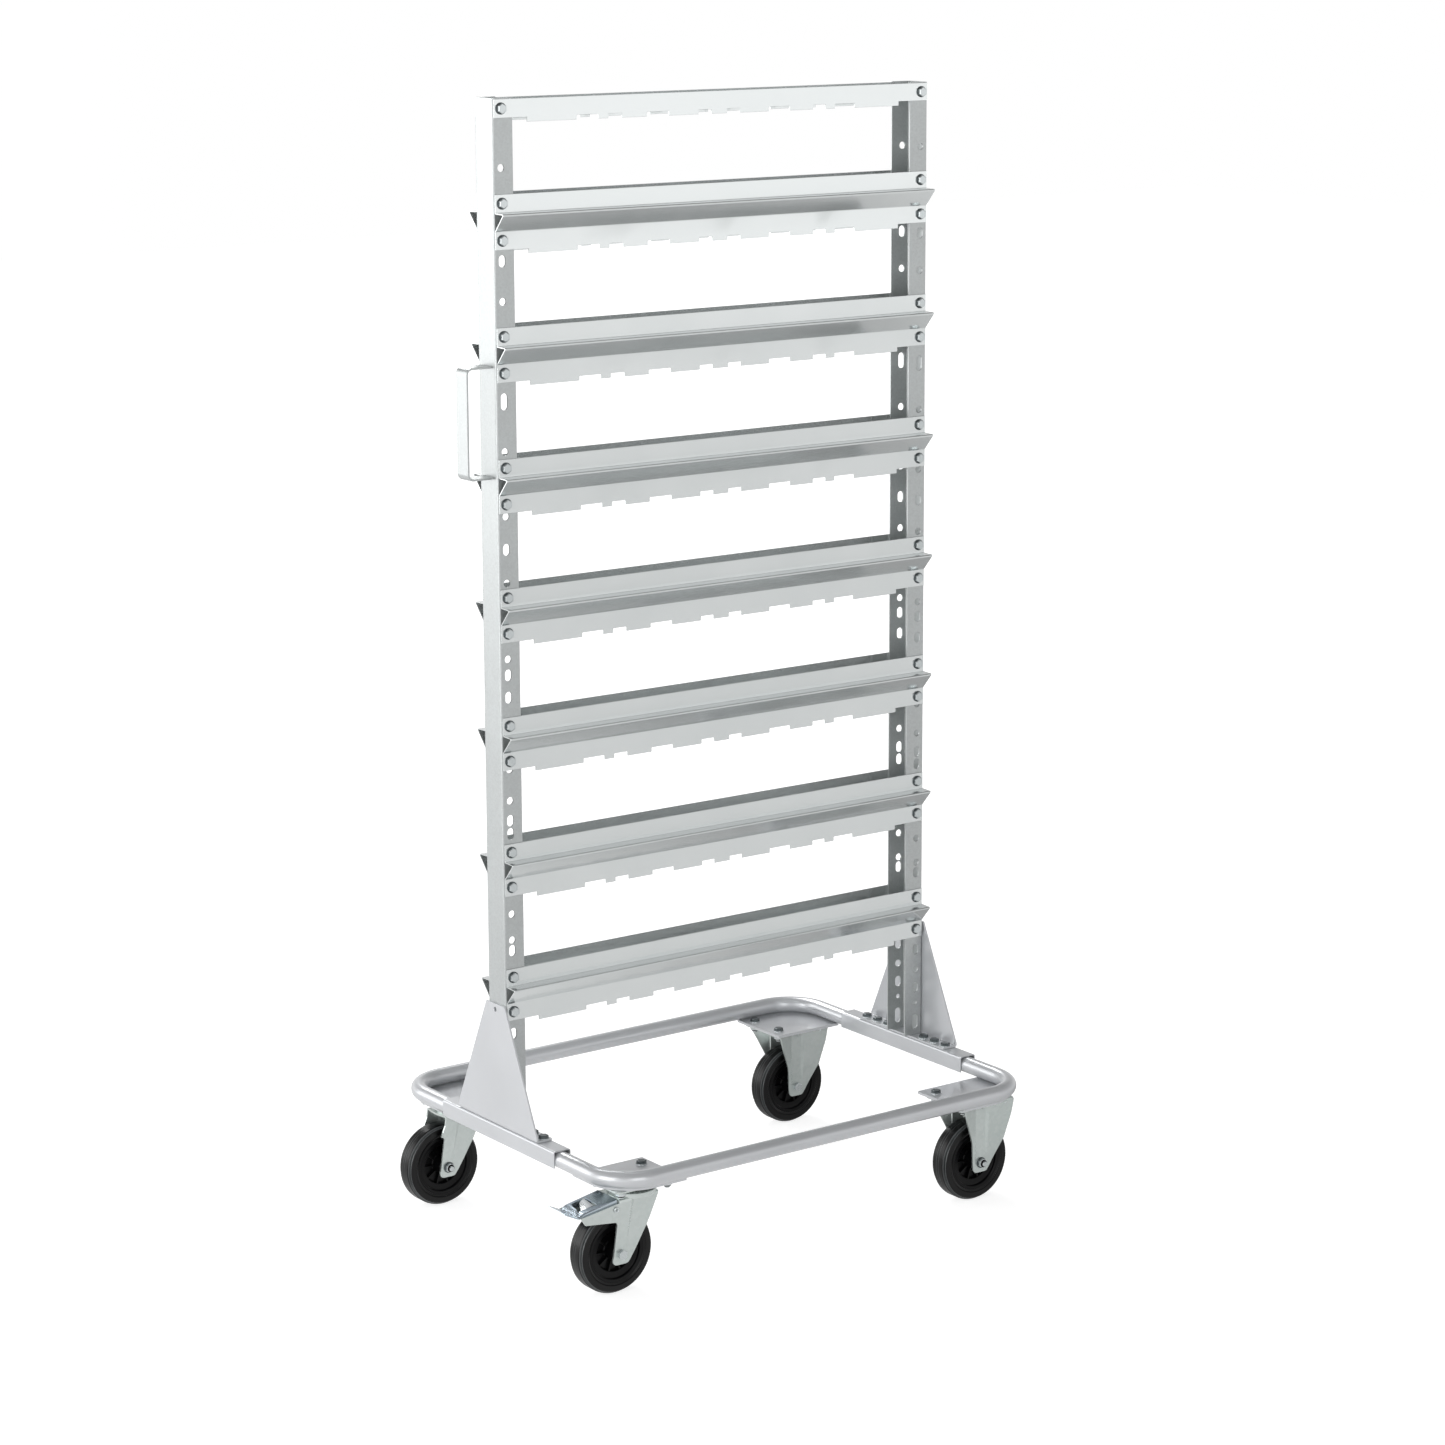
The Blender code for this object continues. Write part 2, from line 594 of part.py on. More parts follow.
def make_handle():
    """A folded strip that stands off the left upright's web."""
    web, outer = -UPRIGHT_OUTER_X - GAP, -UPRIGHT_OUTER_X - HANDLE_REACH + HANDLE_GAUGE / 2
    middle = UPRIGHT_BOTTOM + HANDLE_MIDDLE_SHARE * UPRIGHT_LENGTH
    half = (HANDLE_HEIGHT - HANDLE_GAUGE) / 2
    corners = [(web, middle - half, 0), (outer, middle - half, HANDLE_BEND)]
    corners += [(outer, middle + half, HANDLE_BEND), (web, middle + half, 0)]
    return prism(strip(rounded(corners), HANDLE_GAUGE), -HANDLE_WIDTH / 2, HANDLE_WIDTH / 2, "Y")


# Wheels, the same on every castor, drawn about their own axle along Y


def make_tyre():
    """A solid tyre with a flat tread between two stepped shoulders."""
    outer, inner = WHEEL_DIAMETER / 2, WHEEL_DIAMETER / 2 - TYRE_DEPTH
    half, tread = TYRE_WIDTH / 2, TREAD_WIDTH / 2
    shoulder = outer - (half - tread) / 2
    profile = [(inner, -RIM_WIDTH / 2), (inner + RIM_LIP, -half), (shoulder, -half + (half - tread) / 4)]
    profile += [(outer, -tread), (outer, tread), (shoulder, half - (half - tread) / 4)]
    profile += [(inner + RIM_LIP, half), (inner, RIM_WIDTH / 2)]
    return turned(profile, axis="Y")


def make_rim():
    """A moulded wheel centre: a hub, a thin web and a stepped rim under the tyre."""
    rim = WHEEL_DIAMETER / 2 - TYRE_DEPTH - GAP
    bore, hub = SLEEVE_DIAMETER / 2 + RUNNING_GAP, HUB_DIAMETER / 2
    lip, step = rim - RIM_LIP, rim - RIM_LIP - RIM_SHOULDER
    half = [(hub, HUB_WIDTH / 2), (hub, WEB_GAUGE / 2), (step, WEB_GAUGE / 2), (step, RIM_WIDTH / 3)]
    half += [(lip, RIM_WIDTH / 2), (rim, RIM_WIDTH / 2)]
    profile = [(bore, HUB_WIDTH / 2), *half]
    profile += [(radius, -across) for radius, across in reversed(profile)]
    return turned(profile, axis="Y")


def make_sleeve():
    """The steel tube that the wheel turns on, held between the fork legs."""
    half, bore = SLEEVE_LENGTH / 2, AXLE_DIAMETER / 2 + GAP
    radius = SLEEVE_DIAMETER / 2
    return turned([(bore, -half), (radius, -half), (radius, half), (bore, half)], PIN_SIDES, "Y")


def make_axle(head_side):
    """A bolt through both fork legs, its head towards the side given and a nut on its other end."""
    leg = FORK_WIDTH / 2 + GAP
    nut = leg + NUT_HEIGHT + BOLT_POINT / 2
    shank, head = AXLE_DIAMETER / 2, hex_radius()
    profile = [(0, -leg - BOLT_HEAD), (head, -leg - BOLT_HEAD), (head, -leg), (shank, -leg), (shank, leg)]
    tip = nut + BOLT_POINT / 2
    profile += [(head, leg), (head, nut), (shank, nut), (shank, tip), (0, tip)]
    return turned([(radius, across * -head_side) for radius, across in profile], HEX_SIDES, "Y")


# Castor forks and brackets, drawn from their own axle


def folded_fork(widths, corners):
    """A sheet folded down both sides of the wheel, trimmed to an outline seen from the side.

    The widths are (half width, height) pairs of the sheet's outside, from its foot to its top.
    """
    inset = FORK_GAUGE / 2
    middle = [(-half + inset, height, 0) for half, height in widths[:-1]]
    middle.append((-widths[-1][0] + inset, widths[-1][1] - inset, FORK_BEND))
    middle += [(-across, height, radius) for across, height, radius in reversed(middle)]
    ends = [x for x, _, _ in corners]
    low, high = min(ends) - OVERRUN, max(ends) + OVERRUN
    sheet = prism(strip(rounded(middle, BEND_STEPS), FORK_GAUGE), low, high, "X")
    reach = max(half for half, _ in widths) + OVERRUN
    fork = combined(sheet, prism(rounded(corners), -reach, reach, "Y"), "INTERSECT")
    return cut(fork, rod(AXLE_DIAMETER / 2 + GAP, -reach, reach, "Y"))


def foot_corners():
    """The two rounded lower corners of a leg, behind and in front of the axle."""
    return [(-FORK_FOOT, -FORK_FOOT, FORK_FOOT_CORNER), (FORK_FOOT_FRONT, -FORK_FOOT, FORK_FOOT_CORNER)]


def race_ring(outer, bore, root, rim, dish):
    """Half a ball race: a turned ring that rises from its root to its rim, dished inside the balls."""
    track = BALL_RACE_INNER / 2
    profile = [(bore, root), (outer / 2, root), (outer / 2, rim), (track, rim), (bore, dish)]
    return turned(profile, centre=(TRAIL, 0))


def make_swivel_fork(brakes):
    """A trailing fork with a flat crown and the lower half of the ball race.

    With brakes, both legs carry a wing behind the wheel, and the pedal hangs between the wings.
    """
    top = CROWN_TOP - AXLE_HEIGHT
    back, front = TRAIL - CROWN_BACK, TRAIL + CROWN_FRONT
    corners = foot_corners() + [(LEG_FRONT, LEG_FRONT_HEIGHT, 0), (front, top + OVERRUN, 0)]
    corners += [(back, top + OVERRUN, 0), (-LEG_BACK, LEG_BACK_HEIGHT, 0)]
    half = FORK_WIDTH / 2
    fork = folded_fork([(half, -FORK_FOOT - OVERRUN), (half, top)], corners)
    if brakes:
        fork = join(fork, *brake_wings(back, top))
    bore = KINGPIN_DIAMETER / 2 + RUNNING_GAP
    root, rim = top - FORK_GAUGE / 2, BALL_RACE_BOTTOM - GAP - AXLE_HEIGHT
    fork = join(fork, race_ring(RACE_DIAMETER, bore, root, rim, rim - RACE_DISH))
    low = top - FORK_GAUGE - OVERRUN
    cutters = [rod(bore, low, rim + OVERRUN, centre=(TRAIL, 0), sides=ROUND_SIDES)]
    if brakes:
        radius = BRAKE_PIN_DIAMETER / 2 + RUNNING_GAP
        cutters.append(rod(radius, -FORK_WIDTH, FORK_WIDTH, "Y", (-BRAKE_PIVOT_BACK, BRAKE_PIVOT_UP)))
    return cut(fork, *cutters)


def brake_wings(back, top):
    """The plates that reach back from both fork legs to carry the brake."""
    outline = [(-WING_LENGTH, WING_TIP_TOP), (-WING_FOOT, WING_TIP_BOTTOM), (0, WING_ROOT)]
    outline += [(0, top - FORK_GAUGE), (back, top - FORK_GAUGE)]
    inner, outer = FORK_INNER + WING_INSET, FORK_WIDTH / 2 - WING_INSET
    return [prism(outline, low, high, "Y") for low, high in ((inner, outer), (-outer, -inner))]


def make_castor_plate():
    """The swivel castor's top plate, with the upper half of the ball race pressed out of it."""
    half_x, half_y = CASTOR_PLATE_LENGTH / 2, CASTOR_PLATE_WIDTH / 2
    low, high = CASTOR_PLATE_BOTTOM - AXLE_HEIGHT, CASTOR_HEIGHT - AXLE_HEIGHT
    plate = box((TRAIL - half_x, -half_y, low), (TRAIL + half_x, half_y, high))
    bore, rim = KINGPIN_DIAMETER / 2 + RUNNING_GAP, low - UPPER_RACE_DEPTH
    plate = join(plate, race_ring(UPPER_RACE_DIAMETER, bore, (low + high) / 2, rim, rim + RACE_DISH))
    kingpin_hole = rod(bore, rim - OVERRUN, high + OVERRUN, centre=(TRAIL, 0), sides=ROUND_SIDES)
    return cut(plate, kingpin_hole, *castor_bolt_cutters(TRAIL, low, high))


def castor_bolt_cutters(centre, low, high):
    places = [(centre + x, y) for x, y in castor_bolt_places()]
    return [rod(BOLT_HOLE / 2, low - OVERRUN, high + OVERRUN, centre=place) for place in places]


def make_kingpin():
    """The rivet that the fork hangs on, flush with the top of the castor plate."""
    crown = CROWN_TOP - FORK_GAUGE - GAP - AXLE_HEIGHT
    top, radius, head = CASTOR_HEIGHT - AXLE_HEIGHT, KINGPIN_DIAMETER / 2, KINGPIN_HEAD_DIAMETER / 2
    profile = headed_pin(radius, head, top, crown, crown - KINGPIN_HEAD)
    return turned(profile, centre=(TRAIL, 0))


def make_ball_race():
    low, high = BALL_RACE_BOTTOM - AXLE_HEIGHT, BALL_RACE_BOTTOM + BALL_RACE_HEIGHT - AXLE_HEIGHT
    inner, outer = BALL_RACE_INNER / 2, BALL_RACE_OUTER / 2
    return turned([(inner, low), (outer, low), (outer, high), (inner, high)], centre=(TRAIL, 0))


def make_fixed_bracket():
    """The fixed castor's one pressing: the top plate folds down into two flared legs."""
    top, plate = CASTOR_HEIGHT - AXLE_HEIGHT, CASTOR_PLATE_LENGTH / 2
    under = top - 3 / 2 * CASTOR_PLATE_GAUGE
    corners = foot_corners() + [(BRACKET_FRONT, BRACKET_FRONT_HEIGHT, 0), (plate, BRACKET_FRONT_TOP, 0)]
    corners += [(plate, top + OVERRUN, 0), (-plate, top + OVERRUN, 0), (-plate, under, 0)]
    corners += [(-BRACKET_BACK_TOP, under, 0), (-BRACKET_BACK, BRACKET_BACK_HEIGHT, 0)]
    foot, head = FORK_WIDTH / 2, CASTOR_PLATE_WIDTH / 2
    widths = [(foot, -FORK_FOOT - OVERRUN), (foot, BRACKET_FLARE_START)]
    bracket = folded_fork(widths + [(head, BRACKET_FLARE_END), (head, top)], corners)
    return cut(bracket, *castor_bolt_cutters(0, top - CASTOR_PLATE_GAUGE, top))


# The brake, drawn from its pivot


def make_pedal():
    """A pressed channel, open downwards, with a windowed top, an upturned lip and a shoe under it."""
    half = FORK_INNER - GAP
    sheet_half = half - PEDAL_GAUGE / 2
    dip_start = (-PEDAL_LENGTH + PEDAL_DIP_LENGTH, PEDAL_RISE)
    dip_end = (-PEDAL_LENGTH, PEDAL_RISE - PEDAL_DIP)
    lip_end = Vector(dip_end) + Matrix.Rotation(-LIP_SLOPE, 2) @ Vector((-LIP_LENGTH, 0))
    middle = [Vector(point) for point in ((PEDAL_BOSS, PEDAL_RISE), dip_start, dip_end, lip_end)]
    pedal = prism(strip(middle, PEDAL_GAUGE), -sheet_half, sheet_half, "Y")
    flange = rounded(
        [(PEDAL_BOSS, -PEDAL_BOSS, PEDAL_BOSS), (PEDAL_BOSS, PEDAL_RISE, 0), (*dip_start, 0), (*dip_end, 0)]
        + [(-PEDAL_BOSS, -PEDAL_BOSS, PEDAL_BOSS)]
    )
    inner = half - PEDAL_GAUGE
    shoe = box(
        (-SHOE_START - SHOE_LENGTH, -SHOE_WIDTH / 2, -SHOE_DROP), (-SHOE_START, SHOE_WIDTH / 2, PEDAL_RISE)
    )
    pedal = join(pedal, prism(flange, inner, half, "Y"), prism(flange, -half, -inner, "Y"), shoe)
    window = [(-along * PEDAL_LENGTH, across * half) for along, across in WINDOW_SHARES]
    pin_hole = rod(BRAKE_PIN_DIAMETER / 2 + RUNNING_GAP, -FORK_WIDTH, FORK_WIDTH, "Y")
    pedal = cut(pedal, prism(window, PEDAL_RISE - OVERRUN, PEDAL_RISE + OVERRUN), pin_hole)
    pedal.transform(Matrix.Rotation(-PEDAL_SLOPE, 4, "Y"))
    return pedal


def make_brake_pin():
    shoulder, radius, head = FORK_WIDTH / 2 + GAP, BRAKE_PIN_DIAMETER / 2, BRAKE_PIN_HEAD_DIAMETER / 2
    end = shoulder + BRAKE_PIN_HEAD
    profile = [(0, -end), (head, -end), (head, -shoulder), (radius, -shoulder)]
    profile += [(radius, shoulder), (head, shoulder), (head, end), (0, end)]
    return turned(profile, PIN_SIDES, "Y")


# The whole rack


def build_frame(zinc, paint):
    place("base_tube", make_base_tube(), paint)
    channel, foot, upright = make_channel(), make_foot(), make_upright()
    for side, turn in (("left", 0), ("right", math.pi)):
        place(f"foot_channel_{side}", channel, paint, turn=turn)
        place(f"foot_{side}", foot, paint, turn=turn)
        place(f"upright_{side}", upright, zinc, turn=turn)
    place("push_handle", make_handle(), zinc)
    strip_mesh, rail = make_top_strip(), make_rail()
    for face, turn in (("front", 0), ("rear", math.pi)):
        place(f"top_strip_{face}", strip_mesh, zinc, (0, 0, TOP_STRIP_BOTTOM), turn)
        for number, height in enumerate(reversed(RAIL_HEIGHTS), 1):
            place(f"bin_rail_{face}_{number}", rail, zinc, (0, 0, height), turn)


def build_castors(paint, plated, plastic, rubber):
    """A swivel castor under each left corner, the front one braked, and a fixed one under each right."""
    tyre, rim, sleeve = make_tyre(), make_rim(), make_sleeve()
    plate, kingpin, ball_race = make_castor_plate(), make_kingpin(), make_ball_race()
    bracket = make_fixed_bracket()
    for face, way in FACES.items():
        left, right = f"{face}_left", f"{face}_right"
        place(f"corner_plate_{left}", make_corner_plate(-1, way, True), paint)
        place(f"corner_plate_{right}", make_corner_plate(1, way, False), paint)
        axle = (-CASTOR_X - TRAIL, way * CASTOR_Y, AXLE_HEIGHT)
        place(f"castor_plate_{left}", plate, plated, axle)
        place(f"kingpin_{left}", kingpin, plated, axle)
        swivel = place_axis(f"swivel_axis_{left}", (-CASTOR_X, way * CASTOR_Y, AXLE_HEIGHT))
        behind = (-TRAIL, 0, 0)
        braked = face == "front"
        place(f"ball_race_{left}", ball_race, plated, behind, parent=swivel)
        place(f"fork_{left}", make_swivel_fork(braked), plated, behind, parent=swivel)
        place(f"axle_{left}", make_axle(way), plated, behind, parent=swivel)
        place(f"sleeve_{left}", sleeve, plated, behind, parent=swivel)
        place(f"rim_{left}", rim, plastic, behind, parent=swivel)
        place(f"tyre_{left}", tyre, rubber, behind, parent=swivel)
        if braked:
            pivot = (-TRAIL - BRAKE_PIVOT_BACK, 0, BRAKE_PIVOT_UP)
            place("brake_pedal", make_pedal(), plated, pivot, parent=swivel)
            place("brake_pin", make_brake_pin(), plated, pivot, parent=swivel)
        axle = (CASTOR_X, way * CASTOR_Y, AXLE_HEIGHT)
        place(f"castor_bracket_{right}", bracket, plated, axle)
        place(f"axle_{right}", make_axle(-way), plated, axle)
        place(f"sleeve_{right}", sleeve, plated, axle)
        place(f"rim_{right}", rim, plastic, axle)
        place(f"tyre_{right}", tyre, rubber, axle)


def centre_across():
    """Moves the rack along X until its box is centred, as handle and pedal reach out at the left."""
    bpy.context.view_layer.update()
    solids = [item for item in bpy.data.objects if item.type == "MESH"]
    across = [(item.matrix_world @ Vector(corner)).x for item in solids for corner in item.bound_box]
    for item in bpy.data.objects:
        if not item.parent:
            item.location.x -= (min(across) + max(across)) / 2


def main():
    clear_scene()
    zinc = make_material("galvanised_steel", (0.66, 0.68, 0.68), 0.42, 0.8)
    paint = make_material("grey_paint", (0.62, 0.63, 0.64), 0.35, 0)
    plated = make_material("zinc_plate", (0.60, 0.63, 0.63), 0.3, 0.9)
    plastic = make_material("black_plastic", (0.02, 0.02, 0.022), 0.4, 0)
    rubber = make_material("black_rubber", (0.03, 0.03, 0.032), 0.65, 0)
    build_frame(zinc, paint)
    build_castors(paint, plated, plastic, rubber)
    centre_across()


main()
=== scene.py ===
# %% [markdown]
# # A mobile rack for storage bins
# Two galvanised uprights stand on a painted tube base with four castors, and seven bin rails are
# bolted across each face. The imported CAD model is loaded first, and every piece made here takes
# its place from it, so that nothing has to be fitted by eye.

# %% Load the frame
import json
import math

import bmesh
import bpy
from mathutils import Matrix, Vector


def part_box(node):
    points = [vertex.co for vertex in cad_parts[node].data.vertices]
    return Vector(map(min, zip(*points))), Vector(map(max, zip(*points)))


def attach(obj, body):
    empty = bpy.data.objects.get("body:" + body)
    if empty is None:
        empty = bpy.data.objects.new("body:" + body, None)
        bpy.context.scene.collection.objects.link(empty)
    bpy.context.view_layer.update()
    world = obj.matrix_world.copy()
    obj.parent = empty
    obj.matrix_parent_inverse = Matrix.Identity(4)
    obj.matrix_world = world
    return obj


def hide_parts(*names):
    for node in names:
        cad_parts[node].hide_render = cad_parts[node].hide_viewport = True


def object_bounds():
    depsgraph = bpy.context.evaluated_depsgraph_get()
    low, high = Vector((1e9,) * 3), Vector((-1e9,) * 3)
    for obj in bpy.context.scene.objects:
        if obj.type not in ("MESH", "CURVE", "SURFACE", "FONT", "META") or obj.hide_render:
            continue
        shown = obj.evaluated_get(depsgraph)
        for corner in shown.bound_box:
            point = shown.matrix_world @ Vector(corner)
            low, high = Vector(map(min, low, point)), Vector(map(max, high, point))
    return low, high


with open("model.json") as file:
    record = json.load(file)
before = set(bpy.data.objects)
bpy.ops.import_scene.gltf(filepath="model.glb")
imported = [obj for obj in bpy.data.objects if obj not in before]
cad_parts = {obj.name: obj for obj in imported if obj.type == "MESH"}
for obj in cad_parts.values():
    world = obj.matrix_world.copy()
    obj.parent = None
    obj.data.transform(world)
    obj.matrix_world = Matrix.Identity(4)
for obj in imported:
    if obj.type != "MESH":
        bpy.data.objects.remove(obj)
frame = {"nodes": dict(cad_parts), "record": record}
cad_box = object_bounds()
print("CAD box", [list(corner) for corner in cad_box])

# %% [markdown]
# All sizes are typed in millimetres and turned to metres by one factor. Anything that is the same
# on both ends of the rack is measured from the middle of its rails, which isn't the middle of the
# whole box, because the push handle and the brake pedal reach out on the left.

# %% Shared sizes
MM = 0.001
rail_low, rail_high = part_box("bin_rail_front_1")
MIDDLE_X = (rail_low[0] + rail_high[0]) / 2
print("middle of the rails at x =", round(MIDDLE_X / MM, 3), "mm")

# %% [markdown]
# The picture was taken from the front left and from above the rack's top, looking 11 degrees
# down. The camera's place came from a fit of the known corners. It is made first, so that each
# later step can be looked at from the same side.

# %% Camera
IMAGE_SIDE = 1445
SENSOR = 36
FOCAL_PIXELS = 3730.7
SHIFT_UP = -0.068
camera_data = bpy.data.cameras.new("camera")
camera_data.sensor_width = SENSOR
camera_data.lens = FOCAL_PIXELS / IMAGE_SIDE * SENSOR
camera_data.shift_y = SHIFT_UP
camera = bpy.data.objects.new("camera", camera_data)
bpy.context.scene.collection.objects.link(camera)
camera.location = (-3176.1 * MM + MIDDLE_X, -4410.0 * MM, 1931.9 * MM)
YAW, PITCH, ROLL = math.radians(35.929), math.radians(10.846), math.radians(-0.219)
aim = Vector((math.sin(YAW) * math.cos(PITCH), math.cos(YAW) * math.cos(PITCH), -math.sin(PITCH)))
unrolled = aim.to_track_quat("-Z", "Y").to_matrix()
camera.rotation_euler = (unrolled @ Matrix.Rotation(ROLL, 3, "Z")).to_euler()
bpy.context.scene.camera = camera
bpy.context.scene.view_settings.view_transform = "Standard"
print("camera at", [round(part, 3) for part in camera.location], "m")

# %% [markdown]
# Colours are typed as the sRGB hex values that a paint chart gives, and one function turns them to
# the linear numbers that the shaders work with. The others add a node, fill in its values and make
# its links, which keeps each material down to a few lines.

# %% Colour and node helpers


def colour(hex_text):
    """Linear RGBA from an sRGB value such as 8899AA."""
    channels = [int(hex_text[at:at + 2], 16) / 255 for at in (0, 2, 4)]
    return (*[c / 12.92 if c <= 0.04045 else ((c + 0.055) / 1.055) ** 2.4 for c in channels], 1)


def add_node(tree, kind, values=None, links=None, **settings):
    """A new node with its settings, its typed inputs and its linked inputs."""
    made = tree.nodes.new(kind)
    for name, value in settings.items():
        setattr(made, name, value)
    for name, value in (values or {}).items():
        made.inputs[name].default_value = value
    for name, source in (links or {}).items():
        tree.links.new(source, made.inputs[name])
    return made


def start_material(name, values):
    """A material with its tree, its shader and the object coordinates in metres."""
    made = bpy.data.materials.new(name)
    made.use_nodes = True
    tree = made.node_tree
    shader = tree.nodes["Principled BSDF"]
    for key, value in values.items():
        shader.inputs[key].default_value = value
    place = add_node(tree, "ShaderNodeTexCoord").outputs["Object"]
    return made, tree, shader, place


def blend_colours(tree, factor, stops):
    """A colour ramp over a 0 to 1 factor, with stops given as (position, hex)."""
    ramp = add_node(tree, "ShaderNodeValToRGB", links={"Fac": factor})
    for element, (position, _) in zip(ramp.color_ramp.elements, (stops[0], stops[-1])):
        element.position = position
    for position, _ in stops[1:-1]:
        ramp.color_ramp.elements.new(position)
    for element, (_, hex_text) in zip(ramp.color_ramp.elements, stops):
        element.color = colour(hex_text)
    return ramp.outputs["Color"]


def noise(tree, place, scale, detail):
    """A cloudy value between 0 and 1, its scale given in clouds per metre."""
    made = add_node(tree, "ShaderNodeTexNoise", {"Scale": scale, "Detail": detail}, {"Vector": place})
    return made.outputs["Fac"]


def add_bump(tree, shader, height, strength, distance):
    """Lifts the surface by a height between 0 and 1, at most by the distance in metres."""
    sizes = {"Strength": strength, "Distance": distance}
    lift = add_node(tree, "ShaderNodeBump", sizes, {"Height": height})
    tree.links.new(lift.outputs["Normal"], shader.inputs["Normal"])


# %% [markdown]
# The rack stands in an empty white studio with its windows on the left. Little light comes from
# straight above, so plates facing up stay grey. The walls are a world background, brightest at the
# horizon, and plain white where a camera looks at them.

# %% Studio walls
ZENITH_LEVEL, HORIZON_LEVEL, HORIZON_END = 0.26, 1.06, 0.6
DULL_SIDE, BRIGHT_SIDE, SIDE_REACH = 0.9, 1.15, 0.7
world = bpy.data.worlds.new("studio")
bpy.context.scene.world = world
world.use_nodes = True
sky = world.node_tree


def maths(tree, operation, first, second):
    """One sum over two sockets, or over a socket and a number."""
    made = add_node(tree, "ShaderNodeMath", operation=operation, links={0: first})
    if isinstance(second, (int, float)):
        made.inputs[1].default_value = second
    else:
        tree.links.new(second, made.inputs[1])
    return made.outputs[0]


def ranged(tree, value, start, end, low, high):
    """A value moved from one range to another and kept inside it."""
    sizes = {"From Min": start, "From Max": end, "To Min": low, "To Max": high}
    return add_node(tree, "ShaderNodeMapRange", sizes, {"Value": value}).outputs["Result"]


def seen_directly(tree):
    """1 where a camera or a view through glass looks at it, and 0 in reflections."""
    rays = add_node(tree, "ShaderNodeLightPath").outputs
    return maths(tree, "MAXIMUM", rays["Is Camera Ray"], rays["Is Transmission Ray"])


direction = add_node(sky, "ShaderNodeTexCoord").outputs["Generated"]
parts = add_node(sky, "ShaderNodeSeparateXYZ", links={"Vector": direction}).outputs
level = ranged(sky, parts["Z"], 0, HORIZON_END, HORIZON_LEVEL, ZENITH_LEVEL)
side_level = ranged(sky, parts["X"], -SIDE_REACH, SIDE_REACH, BRIGHT_SIDE, DULL_SIDE)
level = maths(sky, "MULTIPLY", level, side_level)
level = maths(sky, "MAXIMUM", level, seen_directly(sky))
sky.links.new(level, sky.nodes["Background"].inputs["Strength"])
sky.nodes["Background"].inputs["Color"].default_value = colour("FFFFFF")
print("walls", HORIZON_LEVEL, "at the horizon and", ZENITH_LEVEL, "above")

# %% [markdown]
# Where a camera sees the floor, it glows up to plain white, so that only a faint shadow is left.
# In reflections the floor shows a painted reflection, brightest far away and on the left, with a painted
# shadow spot on the right of the rack.
# Each row of four below holds a start and an end in metres, and the levels at both.

# %% Studio floor
FLOOR_SIDE = 30
GLOW_RISE = (1.5, 6, 0.78, 1.1)
PAINTED_SHEEN_FAR = (6, 20, 0.8, 1.08)
PAINTED_SHEEN_LEFT = (-1.5, 0, 1.3, 1)
# Painted shadow in the reflections: the spot where the floor glows dimmer, and how it fades.
SHADOW_SPOT, SHADOW_SPOT_FADE = (0.85, 0.25, 0), (0.35, 0.95, 0.44, 1)
floor_finish, tree, shader, place = start_material(
    "studio_floor", {"Roughness": 0.9, "Specular IOR Level": 0},
)
direct = seen_directly(tree)
mirrored = add_node(tree, "ShaderNodeLightPath").outputs["Is Glossy Ray"]
view = maths(tree, "ADD", maths(tree, "MULTIPLY", direct, 0.5), mirrored)
floor_colour = blend_colours(tree, view, [(0, "F0F0F0"), (0.5, "BCBCBC"), (1, "000000")])
tree.links.new(floor_colour, shader.inputs["Base Color"])
distance = add_node(tree, "ShaderNodeVectorMath", {}, {0: place}, operation="LENGTH").outputs["Value"]
across = add_node(tree, "ShaderNodeSeparateXYZ", links={"Vector": place}).outputs["X"]
shadow_spot = add_node(tree, "ShaderNodeVectorMath", {1: SHADOW_SPOT}, {0: place}, operation="DISTANCE")
glow = maths(tree, "MULTIPLY", direct, ranged(tree, distance, *GLOW_RISE))
# Painted reflection: what mirrors see of the floor glows by distance and side, dimmed in the painted shadow
# spot.
painted_sheen = ranged(tree, distance, *PAINTED_SHEEN_FAR)
painted_sheen = maths(tree, "MULTIPLY", painted_sheen, ranged(tree, shadow_spot.outputs["Value"], *SHADOW_SPOT_FADE))
painted_sheen = maths(tree, "MULTIPLY", painted_sheen, ranged(tree, across, *PAINTED_SHEEN_LEFT))
painted_sheen = maths(tree, "MULTIPLY", painted_sheen, mirrored)
shader.inputs["Emission Color"].default_value = colour("FFFFFF")
tree.links.new(maths(tree, "ADD", glow, painted_sheen), shader.inputs["Emission Strength"])
bpy.ops.object.select_all(action="DESELECT")
bpy.ops.mesh.primitive_plane_add(size=FLOOR_SIDE)
floor = bpy.context.object
floor.name = "floor"
floor.data.materials.append(floor_finish)
print("floor", FLOOR_SIDE, "m wide")

# %% [markdown]
# Five soft boxes stand round the rack: a window on the left, two in front, and two behind that
# light the inner sides of the rails. The right one is weak, because the ledges would mirror it.
# Each row gives a name, a place and a side in metres, and the watts.

# %% Lamps
LAMPS = (
    ("key_left", (-4.4, -0.8, 1.3), 2.8, 70),
    ("front_left", (-1.4, -5.0, 2.0), 2.4, 34),
    ("front_right", (3.1, -4.8, 2.1), 2.6, 6),
    ("back_left", (-3.4, 3.2, 1.6), 2.8, 50),
    ("back_high", (0.8, 3.2, 3.5), 2.0, 90),
)
rack_middle = (cad_box[0] + cad_box[1]) / 2
for lamp_name, lamp_place, lamp_side, lamp_watts in LAMPS:
    lamp_data = bpy.data.lights.new(lamp_name, "AREA")
    lamp_data.size = lamp_side
    lamp_data.energy = lamp_watts
    lamp = bpy.data.objects.new(lamp_name, lamp_data)
    bpy.context.scene.collection.objects.link(lamp)
    lamp.location = lamp_place
    lamp.rotation_euler = (rack_middle - Vector(lamp_place)).to_track_quat("-Z", "Y").to_euler()
print(len(LAMPS), "lamps")

